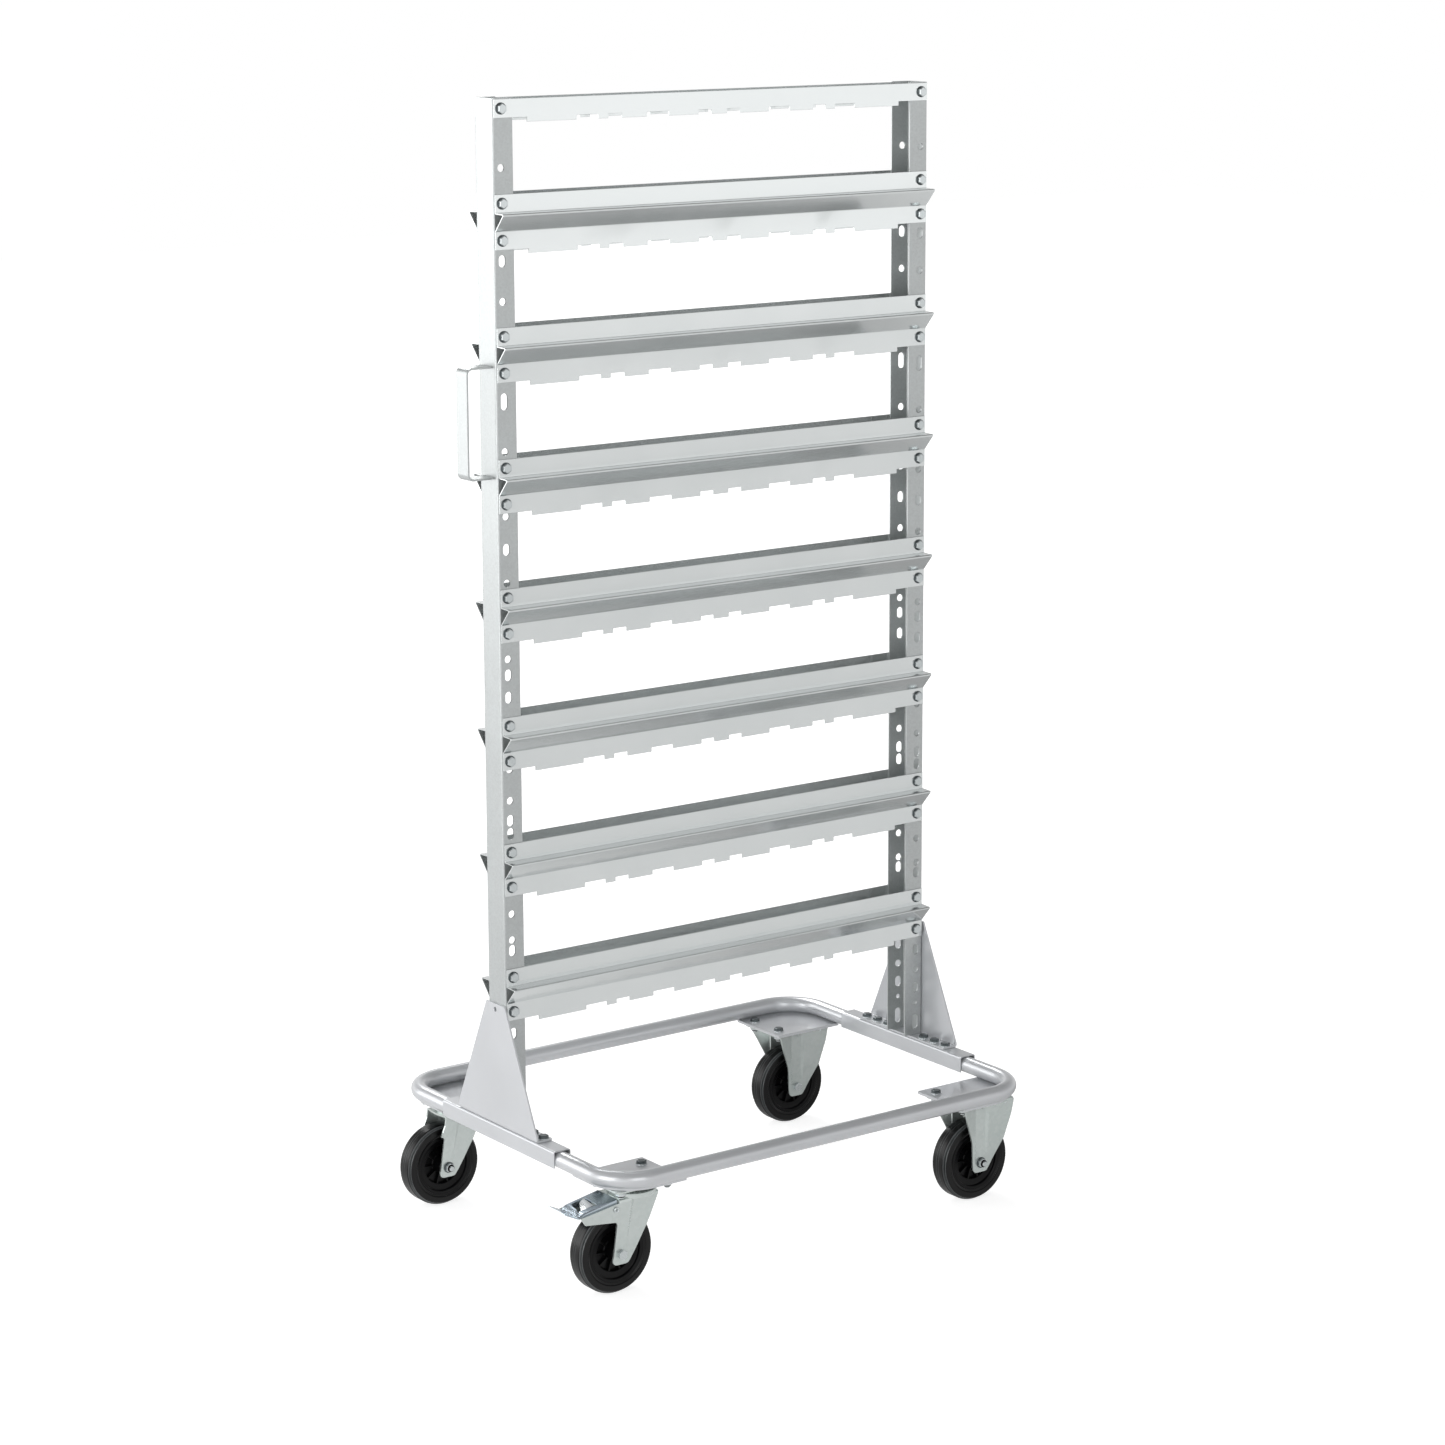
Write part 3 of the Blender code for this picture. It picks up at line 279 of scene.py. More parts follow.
# %% [markdown]
# The uprights are galvanised sheet: steel that went through a zinc bath and froze with a fine
# spangle. It is a metal, dull grey rather than bright, with small crystals that turn the light
# each their own way. Cells of 2.5 mm vary its colour and its roughness. The metallic value stays
# under 1 for all these coats, because a film of oxide scatters part of the light.

# %% Galvanised sheet
GLOSS_SPREAD, CLOUDS, TEETH, TOOTH_HEIGHT = 0.05, 9, 1100, 0.05 * MM


def metal_sheet(name, dark, light, metallic, roughness, cell, spangle, bump):
    """A zinc surface: crystals of the given size in metres, a cloudy film, and a fine tooth."""
    made, tree, shader, place = start_material(name, {"Metallic": metallic})
    cells = add_node(tree, "ShaderNodeTexVoronoi", {"Scale": 1 / cell}, {"Vector": place}).outputs
    crystal = add_node(tree, "ShaderNodeSeparateColor", links={"Color": cells["Color"]}).outputs["Red"]
    from_crystals = maths(tree, "MULTIPLY", crystal, spangle)
    from_clouds = maths(tree, "MULTIPLY", noise(tree, place, CLOUDS, 4), 1 - spangle)
    share = maths(tree, "ADD", from_crystals, from_clouds)
    tree.links.new(blend_colours(tree, share, [(0.15, dark), (0.85, light)]), shader.inputs["Base Color"])
    gloss = ranged(tree, share, 0, 1, roughness - GLOSS_SPREAD, roughness + GLOSS_SPREAD)
    tree.links.new(gloss, shader.inputs["Roughness"])
    add_bump(tree, shader, noise(tree, place, TEETH, 2), bump, TOOTH_HEIGHT)
    print("finish", name)
    return made


galvanised = metal_sheet("galvanised_sheet_steel", "B2B5B5", "C1C5C5", 0.65, 0.36, 2.5 * MM, 0.35, 0.1)

# %% [markdown]
# The rails are electro-galvanised, a thinner and whiter coat than the bath gives. The crystals are
# too fine to see, so only a cloudy film and a fine tooth are left. It is the smoothest of the
# coats, so its folds show as thin bright and dark lines.

# %% Electro-galvanised rails
rail_zinc = metal_sheet("electro_galvanised_sheet", "DADEDE", "E3E6E6", 0.8, 0.15, 1.5 * MM, 0.08, 0.03)

# %% [markdown]
# The castors are pressed steel with a zinc plate that is a little green and clouded in patches of
# about 5 mm. The brake pedal has a bluer bath. The bolts are plated too. Most washers and the heads
# on the base are a dark zinc, which is painted shade for the shadow round and on a head.

# %% Bright zinc plate and bolts
bright_zinc = metal_sheet("bright_zinc_plate", "BEC7C4", "D8DEDC", 0.7, 0.22, 5 * MM, 0.18, 0.1)
blue_zinc = metal_sheet("blue_passivated_zinc", "B2BEC8", "C0CBD3", 0.9, 0.22, 3 * MM, 0.1, 0.03)
# Painted shade: this dark zinc stands for the shadow round a bolt head and on its sides.
shade_zinc = metal_sheet("painted_shade_zinc", "4E5456", "5C6264", 0.8, 0.3, 2 * MM, 0.1, 0.03)
bolt_zinc = metal_sheet("zinc_plated_bolt_steel", "C2C8C9", "D2D7D8", 0.75, 0.2, 2 * MM, 0.1, 0.03)

# %% [markdown]
# The base is powder coated. The powder melts to a smooth plastic skin over fine metal flakes, with
# a faint orange peel of about 1.5 mm. Its silver grey drifts a little from place to place, as the
# coat is never equally thick.

# %% Powder coat
PEEL_SIZE, PEEL_HEIGHT, COAT_CLOUDS = 1.5 * MM, 0.04 * MM, 6
powder_coat, tree, shader, place = start_material(
    "silver_grey_powder_coat",
    {"Metallic": 0.4, "Roughness": 0.3, "IOR": 1.5, "Coat Weight": 0.5, "Coat Roughness": 0.08},
)
cloud = noise(tree, place, COAT_CLOUDS, 5)
tree.links.new(blend_colours(tree, cloud, [(0.3, "C6C8CB"), (0.7, "CED0D3")]), shader.inputs["Base Color"])
add_bump(tree, shader, noise(tree, place, 1 / PEEL_SIZE, 1), 0.12, PEEL_HEIGHT)
print("finish", powder_coat.name)

# %% [markdown]
# The wheels are two blacks. The centre is moulded polypropylene, slightly glossy with a fine
# eroded grain, and the tyre is solid rubber, duller, with a painted highlight of light grey in its grooves.

# %% Moulded plastic and rubber
MOULD_SPREAD, MOULD_CLOUDS, GRAIN_HEIGHT = 0.06, 25, 0.08 * MM


def moulded(name, dark, light, gleam, roughness, grain, bump):
    """A moulded black: a grain of the given size in metres and a slow change of colour and gloss."""
    made, tree, shader, place = start_material(name, {"IOR": 1.5, "Specular IOR Level": gleam})
    cloud = noise(tree, place, MOULD_CLOUDS, 4)
    tree.links.new(blend_colours(tree, cloud, [(0.35, dark), (0.7, light)]), shader.inputs["Base Color"])
    gloss = ranged(tree, cloud, 0, 1, roughness - MOULD_SPREAD, roughness + MOULD_SPREAD)
    tree.links.new(gloss, shader.inputs["Roughness"])
    add_bump(tree, shader, noise(tree, place, 1 / grain, 2), bump, GRAIN_HEIGHT)
    print("finish", name)
    return made


black_plastic = moulded("moulded_black_polypropylene", "040405", "080809", 0.18, 0.34, 0.8 * MM, 0.2)
# Painted highlight: a light grey rubber for the grooves, so that they show as bright arcs.
groove_highlight_rubber = moulded("painted_groove_highlight", "3C3F40", "585B5C", 0.5, 0.35, 1.2 * MM, 0.1)
black_rubber = moulded("solid_black_rubber", "040405", "090909", 0.28, 0.3, 1.2 * MM, 0.15)

# %% [markdown]
# Each CAD node gets a finish through its material slot. Most nodes are replaced further on by
# pieces with their own folds and finish. The sleeves in the wheels keep their shape and this one.

# %% Finishes for the CAD nodes
FINISHES = {
    "galvanised_steel": galvanised,
    "grey_paint": powder_coat,
    "zinc_plate": bright_zinc,
    "black_plastic": black_plastic,
    "black_rubber": black_rubber,
}
for subpart in frame["record"]["subparts"]:
    node = frame["nodes"][subpart["node"]]
    node.data.materials.clear()
    node.data.materials.append(FINISHES[subpart["material_slot"]])

# %% [markdown]
# Most of the rack is sheet metal, so most pieces start as a flat plane of one strip. In edit mode
# an edge is picked by its place and extruded along the next fold, as a press brake would bend it,
# and a bevel rounds the fold. These helpers keep each of those steps to one line.

# %% Folding a sheet
NEAR = 0.05 * MM


def near(value, wanted):
    return abs(value - wanted) < NEAR


def leave_edit():
    if bpy.context.mode != "OBJECT":
        bpy.ops.object.mode_set(mode="OBJECT")
    bpy.ops.object.select_all(action="DESELECT")


def name_it(name):
    piece = bpy.context.object
    piece.name = piece.data.name = name
    return piece


def sheet_start(name, size, centre, turn=(0, 0, 0)):
    """A flat strip at its size and place, left in edit mode."""
    leave_edit()
    bpy.ops.mesh.primitive_plane_add(size=1, location=centre, rotation=turn)
    piece = name_it(name)
    piece.scale = (*size, 1)
    bpy.ops.object.transform_apply(location=True, rotation=True, scale=True)
    bpy.ops.object.mode_set(mode="EDIT")
    return piece


def pick(kind, test):
    """In edit mode, selects only the vertices, edges or faces whose middle passes the test."""
    bpy.ops.mesh.select_mode(type=kind)
    bpy.ops.mesh.select_all(action="DESELECT")
    data = bpy.context.edit_object.data
    shape = bmesh.from_edit_mesh(data)
    items = {"VERT": shape.verts, "EDGE": shape.edges, "FACE": shape.faces}[kind]
    found = 0
    for item in items:
        corners = [item] if kind == "VERT" else item.verts
        if test(sum((corner.co for corner in corners), Vector()) / len(corners)):
            item.select_set(True)
            found += 1
    shape.select_flush_mode()
    bmesh.update_edit_mesh(data)
    return found


def pick_all():
    bpy.ops.mesh.select_all(action="SELECT")


def face_outward():
    pick_all()
    bpy.ops.mesh.normals_make_consistent(inside=False)


def extrude(x=0, y=0, z=0):
    """Extrudes what is picked by a step in millimetres."""
    bpy.ops.mesh.extrude_region_move(TRANSFORM_OT_translate={"value": (x * MM, y * MM, z * MM)})


def shift(x=0, y=0, z=0):
    bpy.ops.transform.translate(value=(x * MM, y * MM, z * MM))


def round_edges(radius, test, steps=3, kind="EDGE"):
    """Bevels the edges, or with kind VERT the corners, that pass the test."""
    affect = {"EDGE": "EDGES", "VERT": "VERTICES"}[kind]
    if pick(kind, test):
        bpy.ops.mesh.bevel(offset=radius, segments=steps, affect=affect)


# %% [markdown]
# A folded strip gets the gauge of its sheet, half to each side, and its edges are broken by
# 0.25 mm, as the press leaves them. Holes are cut by a solid in the place of the punch. In the
# shading, which comes last, flat faces stay flat between the round folds.

# %% Gauge, holes and shading
EDGE_BREAK, BREAK_ANGLE = 0.25 * MM, math.radians(50)


def modify(piece, kind, **settings):
    """Adds a modifier and applies it at once."""
    leave_edit()
    bpy.context.view_layer.objects.active = piece
    piece.select_set(True)
    change = piece.modifiers.new(kind.title(), kind)
    for name, value in settings.items():
        setattr(change, name, value)
    bpy.ops.object.modifier_apply(modifier=change.name)


def give_gauge(piece, gauge, **settings):
    modify(piece, "SOLIDIFY", thickness=gauge, offset=0, use_even_offset=True, **settings)


def break_edges(piece):
    modify(piece, "BEVEL", width=EDGE_BREAK, segments=1, limit_method="ANGLE", angle_limit=BREAK_ANGLE)


def thicken(piece, gauge):
    give_gauge(piece, gauge, use_quality_normals=True)
    break_edges(piece)


def cut_away(piece, cutter):
    modify(piece, "BOOLEAN", object=cutter, operation="DIFFERENCE", solver="EXACT")
    bpy.data.objects.remove(cutter)


def smooth(piece, finish, angle=35):
    """Shades a finished shape, sharp where faces meet above the angle, and gives it its material."""
    leave_edit()
    bpy.context.view_layer.objects.active = piece
    piece.select_set(True)
    bpy.ops.object.shade_smooth_by_angle(angle=math.radians(angle))
    modify(piece, "WEIGHTED_NORMAL", keep_sharp=True)
    if not piece.data.materials:
        piece.data.materials.append(finish)


# %% [markdown]
# Whatever comes more than once is modelled once and copied. Half a turn about the middle of the
# rack makes the rear face from the front one, and the right upright and foot from the left ones.
# Round pieces are lathed. A finished piece rides on its body, in the place of its CAD node.

# %% Copies and lathed shapes
to_middle = Matrix.Translation((MIDDLE_X, 0, 0))
HALF_TURN = to_middle @ Matrix.Rotation(math.pi, 4, "Z") @ to_middle.inverted()
BOTH_FACES = (("front", Matrix()), ("rear", HALF_TURN))
BOTH_SIDES = (("left", Matrix()), ("right", HALF_TURN))


def copy_of(master, matrix=None, name=None):
    """A copy with a mesh of its own, moved in its mesh."""
    twin = bpy.data.objects.new(name or master.name + "_copy", master.data.copy())
    bpy.context.scene.collection.objects.link(twin)
    twin.data.transform(matrix or Matrix())
    twin.data.name = twin.name
    return twin


def joined(pieces, name):
    """Several shapes as one object, each keeping its material."""
    leave_edit()
    for piece in pieces:
        piece.select_set(True)
    bpy.context.view_layer.objects.active = pieces[0]
    bpy.ops.object.join()
    return name_it(name)


def fit(piece, body, node):
    """Rides a finished piece on a body, in the place of one CAD node."""
    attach(piece, body)
    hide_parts(node)
    print(piece.name, len(piece.data.polygons), "faces, on", body)


def lathe(name, outline, steps=48, axis="Z", centre=(0, 0, 0)):
    """Extrudes an outline of (radius, height) points one by one, and spins it about Z or Y."""
    leave_edit()
    bpy.ops.mesh.primitive_plane_add(size=MM)
    piece = name_it(name)
    bpy.ops.object.mode_set(mode="EDIT")
    bpy.ops.mesh.merge(type="CENTER")
    shift(outline[0][0], 0, outline[0][1])
    for before, after in zip(outline, outline[1:]):
        extrude(after[0] - before[0], 0, after[1] - before[1])
    pick_all()
    bpy.ops.mesh.spin(steps=steps, angle=math.tau, center=(0, 0, 0), axis=(0, 0, 1))
    pick_all()
    bpy.ops.mesh.remove_doubles(threshold=0.01 * MM)
    face_outward()
    leave_edit()
    turn = Matrix.Rotation(-math.pi / 2, 4, "X") if axis == "Y" else Matrix()
    piece.data.transform(Matrix.Translation(Vector(centre) * MM) @ turn)
    return piece


# %% [markdown]
# Every sheet is held by M8 hexagon bolts. One head is modelled: a six-sided prism whose top corners
# are cut by a chamfer, on a thin round washer in dark zinc as painted shade. A nut is the same shape
# with a screw end and a plastic collar, and an axle head has no washer. On the base the heads are
# dark as painted shade and the washers light. All stand on z = 0 and are copied to each place.

# %% Bolts and nuts
HEX_RADIUS, HEAD_HEIGHT, WASHER_RADIUS, WASHER_HEIGHT = 7.3, 5.2, 8.4, 1.2
CHAMFER_IN, CHAMFER_DOWN, BOLT_ANGLE = 0.13, 0.06, 18


def hexagon(name, radius, low, high):
    """A six-sided prism with chamfered upper corners, from low to high in millimetres."""
    leave_edit()
    middle = (0, 0, (low + high) / 2 * MM)
    bpy.ops.mesh.primitive_cylinder_add(
        vertices=6, radius=radius * MM, depth=(high - low) * MM, location=middle,
    )
    bpy.ops.object.transform_apply(location=True)
    piece = name_it(name)
    bpy.ops.object.mode_set(mode="EDIT")
    pick("FACE", lambda p: near(p.z, high * MM))
    bpy.ops.mesh.inset(thickness=radius * CHAMFER_IN * MM, depth=radius * CHAMFER_DOWN * MM)
    pick("VERT", lambda p: p.z > (high - 1) * MM)
    shift(z=-radius * CHAMFER_DOWN)
    leave_edit()
    return piece


def washer_with(head, name):
    """A head or a nut on its washer."""
    outline = [(0, 0), (WASHER_RADIUS, 0), (WASHER_RADIUS, WASHER_HEIGHT * 0.8)]
    outline += [(WASHER_RADIUS - 0.3, WASHER_HEIGHT), (0, WASHER_HEIGHT)]
    plate = lathe("washer", outline, 24)
    smooth(head, bolt_zinc, BOLT_ANGLE)
    # The washer is dark zinc as painted shade.
    smooth(plate, shade_zinc, BOLT_ANGLE)
    return joined([head, plate], name)


bolt_head = washer_with(hexagon("head", HEX_RADIUS, WASHER_HEIGHT, HEAD_HEIGHT), "bolt_head")
screw_end = lathe("screw_end", [(0, 5), (4, 5), (4, 9.2), (3.2, 10), (0, 10)], 16)
collar = lathe("collar", [(4.2, 5.4), (5.9, 5.4), (5.9, 6.6), (5.2, 7.6), (4.2, 7.6)], 24)
collar.data.materials.append(black_plastic)
nut = joined([hexagon("hexagon_nut", HEX_RADIUS, WASHER_HEIGHT, 6), screw_end], "nut_body")
nut = joined([washer_with(nut, "nut"), collar], "lock_nut")
axle_head = hexagon("axle_head", HEX_RADIUS, 0, 5.3)
smooth(axle_head, bolt_zinc, BOLT_ANGLE)
base_bolt = copy_of(bolt_head, None, "base_bolt")
# On the base the heads take the dark zinc as painted shade, and the washers the plain bolt zinc.
base_bolt.data.materials[0], base_bolt.data.materials[1] = shade_zinc, bolt_zinc
print("bolt head", len(bolt_head.data.polygons), "faces, nut", len(nut.data.polygons), "faces")


def seated(master, spot, towards):
    """A copy of a fastener standing on the spot, its axis towards the direction given."""
    aim_matrix = Vector(towards).to_track_quat("Z", "Y").to_matrix().to_4x4()
    return copy_of(master, Matrix.Translation(Vector(spot)) @ aim_matrix)


# %% [markdown]
# A bin rail is one folded strip, 1.5 mm thick. Its lower flange has tabs, then the sheet runs out
# and up to a nose, back along a narrow ledge that the bins hook on, and up again to the upper
# flange. The tabs stay where the press cut away the rest: the lower edge is split at their ends and
# extruded there.

# %% Bin rails
RAIL_GAUGE, TAB, SHEET_Y = 1.5, 6.5, -23.55
FLANGE, NOSE_REACH, NOSE_RISE, LEDGE_RISE = 26, 21.5, 24.2, 0.8
BOLT_X, BOLT_UPS = 373.2, (13, 64.5)
TABS = ((0, 0.0364), (0.0952, 0.231), (0.330, 0.442), (0.502, 0.5475), (0.642, 0.858))
half_rail = (rail_high[0] - rail_low[0]) / 2


def face_bolts(heights):
    """Bolt heads on the front of a rail or strip, in the bolt columns of both uprights."""
    front_y = (SHEET_Y - RAIL_GAUGE / 2) * MM
    spots = [(MIDDLE_X + side * BOLT_X * MM, front_y, height) for side in (-1, 1) for height in heights]
    return [seated(bolt_head, spot, (0, -1, 0)) for spot in spots]


def add_tabs(flange_test, edge_z):
    """Splits the flange at the ends of its tabs, and extrudes the lower edge between them."""
    cuts = sorted({side * end for pair in TABS for end in pair for side in (-1, 1)} - {0})
    for cut in cuts:
        pick("FACE", flange_test)
        bpy.ops.mesh.bisect(plane_co=(MIDDLE_X + cut * half_rail, 0, 0), plane_no=(1, 0, 0))

    def in_tab(p):
        share = abs(p.x - MIDDLE_X) / half_rail
        return near(p.z, edge_z) and any(start <= share <= end for start, end in TABS)

    pick("EDGE", in_tab)
    extrude(z=-TAB)


def make_rail():
    low_z = rail_low[2] / MM + TAB
    nose_z = low_z + FLANGE + NOSE_RISE
    ledge_z = nose_z + LEDGE_RISE
    middle = (MIDDLE_X, SHEET_Y * MM, (low_z + FLANGE / 2) * MM)
    rail = sheet_start("bin_rail", (2 * half_rail, FLANGE * MM), middle, (math.pi / 2, 0, 0))
    pick("EDGE", lambda p: near(p.z, (low_z + FLANGE) * MM))
    extrude(y=-NOSE_REACH, z=NOSE_RISE)
    pick("EDGE", lambda p: near(p.z, nose_z * MM))
    extrude(y=NOSE_REACH, z=LEDGE_RISE)
    pick("EDGE", lambda p: near(p.z, ledge_z * MM))
    extrude(z=FLANGE)
    for fold_z, radius, steps in ((nose_z, 3, 4), (low_z + FLANGE, 1, 2), (ledge_z, 1, 2)):
        round_edges(radius * MM, lambda p: near(p.x, MIDDLE_X) and near(p.z, fold_z * MM), steps)
    add_tabs(lambda p: near(p.y, SHEET_Y * MM) and p.z < (low_z + FLANGE) * MM, low_z * MM)
    thicken(rail, RAIL_GAUGE * MM)
    smooth(rail, rail_zinc)
    return joined([rail, *face_bolts([(low_z + up) * MM for up in BOLT_UPS])], "bin_rail")


rail_master = make_rail()
for face, turn in BOTH_FACES:
    for number in range(1, 8):
        node_name = f"bin_rail_{face}_{number}"
        lift = Matrix.Translation((0, 0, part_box(node_name)[0][2] - rail_low[2]))
        rail = copy_of(rail_master, turn @ lift, f"folded_rail_{face}_{number}")
        fit(rail, "frame", node_name)
bpy.data.objects.remove(rail_master)

# %% [markdown]
# The strip across the top of each face is the rail's lower flange on its own, with the same tabs.

# %% Top strips
strip_low, strip_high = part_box("top_strip_front")
strip_zero = strip_low[2] + TAB * MM
strip_middle = (MIDDLE_X, SHEET_Y * MM, (strip_zero + strip_high[2]) / 2)
strip_size = (2 * half_rail, strip_high[2] - strip_zero)
strip = sheet_start("top_strip", strip_size, strip_middle, (math.pi / 2, 0, 0))
add_tabs(lambda p: p.z > strip_zero, strip_zero)
thicken(strip, RAIL_GAUGE * MM)
smooth(strip, rail_zinc)
strip_master = joined([strip, *face_bolts([strip_zero + BOLT_UPS[0] * MM])], "top_strip")
for face, turn in BOTH_FACES:
    strip = copy_of(strip_master, turn, f"tabbed_strip_{face}")
    fit(strip, "frame", f"top_strip_{face}")
bpy.data.objects.remove(strip_master)

# %% [markdown]
# An upright is a channel folded from 2 mm sheet, open to the inside and punched through both
# flanges, so that rails can be set at other heights. One cutter object holds every punch: a round
# one is a cylinder, and for a slot the upper half of the cylinder is moved up by the slot's run.

# %% Uprights
UPRIGHT_GAUGE = 2
ROUND_HOLES = (0.0713, 0.1876, 0.2137, 0.3268, 0.3578, 0.4662, 0.5401, 0.6048, 0.6669, 0.8097, 0.9352)
SLOTS = (0.0514, 0.0931, 0.1770, 0.2939, 0.3070, 0.4287, 0.4506, 0.5728, 0.8478)
HOLE, SMALL_HOLE, SHORT_RUN, LONG_RUN = 11, 7, 6, 13
PUNCHES = [(share, HOLE, 0) for share in ROUND_HOLES] + [(share, HOLE, SHORT_RUN) for share in SLOTS]
PUNCHES += [(0.0349, SMALL_HOLE, 0), (0.0140, HOLE, LONG_RUN), (0.7149, HOLE, LONG_RUN)]
post_low, post_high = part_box("upright_left")


def punch(share, width, run):
    """A cutter through both flanges, its middle at a share of the upright's length."""
    leave_edit()
    height = post_low[2] + share * (post_high[2] - post_low[2])
    bpy.ops.mesh.primitive_cylinder_add(
        vertices=24, radius=width / 2 * MM, depth=80 * MM,
        location=(MIDDLE_X - BOLT_X * MM, 0, height), rotation=(math.pi / 2, math.pi / 24, 0),
    )
    bpy.ops.object.transform_apply(location=True, rotation=True)
    cutter = name_it("punch")
    bpy.ops.object.mode_set(mode="EDIT")
    for side in (-1, 1):
        pick("VERT", lambda p: (p.z - height) * side > 0)
        shift(z=side * run / 2)
    leave_edit()
    return cutter


depth, width, length = (high - low for high, low in zip(post_high, post_low))
web_x = post_low[0] + UPRIGHT_GAUGE / 2 * MM
post_middle = (web_x, 0, (post_low[2] + post_high[2]) / 2)
post = sheet_start("upright", (length, width - UPRIGHT_GAUGE * MM), post_middle, (0, math.pi / 2, 0))
pick("EDGE", lambda p: abs(p.y) > width / 4)
extrude(x=depth / MM - UPRIGHT_GAUGE / 2)
round_edges(
    2.2 * MM, lambda p: near(p.x, web_x) and abs(p.y) > width / 4 and near(p.z, post_middle[2]), 4,
)
give_gauge(post, UPRIGHT_GAUGE * MM)
cut_away(post, joined([punch(*row) for row in PUNCHES], "punches"))
smooth(post, galvanised)
for side, turn in BOTH_SIDES:
    twin = copy_of(post, turn, f"punched_upright_{side}")
    fit(twin, "frame", f"upright_{side}")
bpy.data.objects.remove(post)

# %% [markdown]
# The push handle is a flat strip bent twice and bolted to the web of the left upright. Only its
# two bends are rounded; the strip keeps its full width all along.

# %% Push handle
grip_low, grip_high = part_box("push_handle")
HANDLE_GAUGE = 3
grip_x = grip_low[0] + HANDLE_GAUGE / 2 * MM
grip_size = (grip_high[2] - grip_low[2] - HANDLE_GAUGE * MM, grip_high[1] - grip_low[1])
grip_middle = (grip_x, 0, (grip_low[2] + grip_high[2]) / 2)
grip = sheet_start("push_handle_strip", grip_size, grip_middle, (0, math.pi / 2, 0))
pick("EDGE", lambda p: abs(p.z - grip_middle[2]) > grip_size[0] / 4)
extrude(x=(grip_high[0] - grip_x) / MM)
round_edges(8 * MM, lambda p: near(p.x, grip_x) and abs(p.z - grip_middle[2]) > grip_size[0] / 4, 6)
thicken(grip, HANDLE_GAUGE * MM)
smooth(grip, galvanised)
fit(grip, "frame", "push_handle")

# %% [markdown]
# The base is one round tube, bent at four corners and welded to itself. A circle is spun through a
# quarter turn for each bend and extruded along each straight side. The last side is a bridge back
# to the first ring, so the loop has no seam.

# %% Base tube
TUBE_RADIUS, TUBE_X, TUBE_Y, TUBE_Z, TUBE_BEND = 12.5, 375.5, 287.5, 177.5, 65
leave_edit()
bpy.ops.mesh.primitive_circle_add(
    vertices=32, radius=TUBE_RADIUS * MM, rotation=(math.pi / 2, 0, 0),
    location=(MIDDLE_X - TUBE_X * MM, (TUBE_BEND - TUBE_Y) * MM, TUBE_Z * MM),
)
bpy.ops.object.transform_apply(location=True, rotation=True)
tube = name_it("bent_base_tube")
bpy.ops.object.mode_set(mode="EDIT")
pick_all()
straight_x, straight_y = 2 * (TUBE_X - TUBE_BEND), 2 * (TUBE_Y - TUBE_BEND)
for step, (turn_x, turn_y) in enumerate(((-1, -1), (1, -1), (1, 1), (-1, 1))):
    centre_x, centre_y = turn_x * (TUBE_X - TUBE_BEND), turn_y * (TUBE_Y - TUBE_BEND)
    centre = (MIDDLE_X + centre_x * MM, centre_y * MM, TUBE_Z * MM)
    bpy.ops.mesh.spin(steps=14, angle=-math.pi / 2, center=centre, axis=(0, 0, 1))
    if step < 3:
        extrude(*((straight_x, 0), (0, straight_y), (-straight_x, 0))[step])
pick("EDGE", lambda p: False)
shape = bmesh.from_edit_mesh(tube.data)
for edge in shape.edges:
    edge.select_set(edge.is_boundary)
bmesh.update_edit_mesh(tube.data)
bpy.ops.mesh.bridge_edge_loops()
face_outward()
smooth(tube, powder_coat, 60)
fit(tube, "frame", "base_tube")

# %% [markdown]
# An inverted channel saddles each short side of the tube and carries the foot. It is folded from
# 1.7 mm sheet, and reaches 25 mm down on both sides of the tube.

# %% Channels
CHANNEL_WALL, CHANNEL_TOP, CHANNEL_DEEP, CHANNEL_LONG = 1.7, 192, 25, 300
channel_middle = (MIDDLE_X - TUBE_X * MM, 0, (CHANNEL_TOP - CHANNEL_WALL / 2) * MM)
channel_half = TUBE_RADIUS + 0.3 + CHANNEL_WALL / 2
channel = sheet_start("channel", (2 * channel_half * MM, CHANNEL_LONG * MM), channel_middle)
pick("EDGE", lambda p: near(abs(p.x - channel_middle[0]), channel_half * MM))
extrude(z=CHANNEL_WALL / 2 - CHANNEL_DEEP)
for side in (-1, 1):
    fold_x = channel_middle[0] + side * channel_half * MM
    round_edges(2.6 * MM, lambda p: near(p.y, 0) and near(p.z, channel_middle[2]) and near(p.x, fold_x), 4)
thicken(channel, CHANNEL_WALL * MM)
smooth(channel, powder_coat)
print("channel", CHANNEL_LONG, "mm long")

# %% [markdown]
# A folded foot stands on each channel: a gusset that tapers up the upright's web, and a flange with
# six bolts. The taper is made by moving the upper corners in, and a hole at the tip takes a rivet.

# %% Feet
FOOT_GAUGE, FOOT_X, FOOT_Z, FOOT_LONG = 3, -388.5, 193.8, 212
FOOT_SKIRT, GUSSET_RISE, GUSSET_TAPER, FOOT_FLANGE = 4.5, 177.7, 82, 26.5
FOOT_BOLT_X, FOOT_BOLT_START, FOOT_BOLT_PITCH = 373, 45, 26.5
RIVET_DROP = 8.5
foot_middle = (MIDDLE_X + FOOT_X * MM, 0, (FOOT_Z + FOOT_SKIRT / 2) * MM)
foot = sheet_start("foot", (FOOT_SKIRT * MM, FOOT_LONG * MM), foot_middle, (0, math.pi / 2, 0))
pick("EDGE", lambda p: near(p.z, (FOOT_Z + FOOT_SKIRT) * MM))
extrude(z=GUSSET_RISE)
foot_top = FOOT_Z + FOOT_SKIRT + GUSSET_RISE
for side in (-1, 1):
    pick("VERT", lambda p: near(p.z, foot_top * MM) and p.y * side > 0)
    shift(y=-side * GUSSET_TAPER)
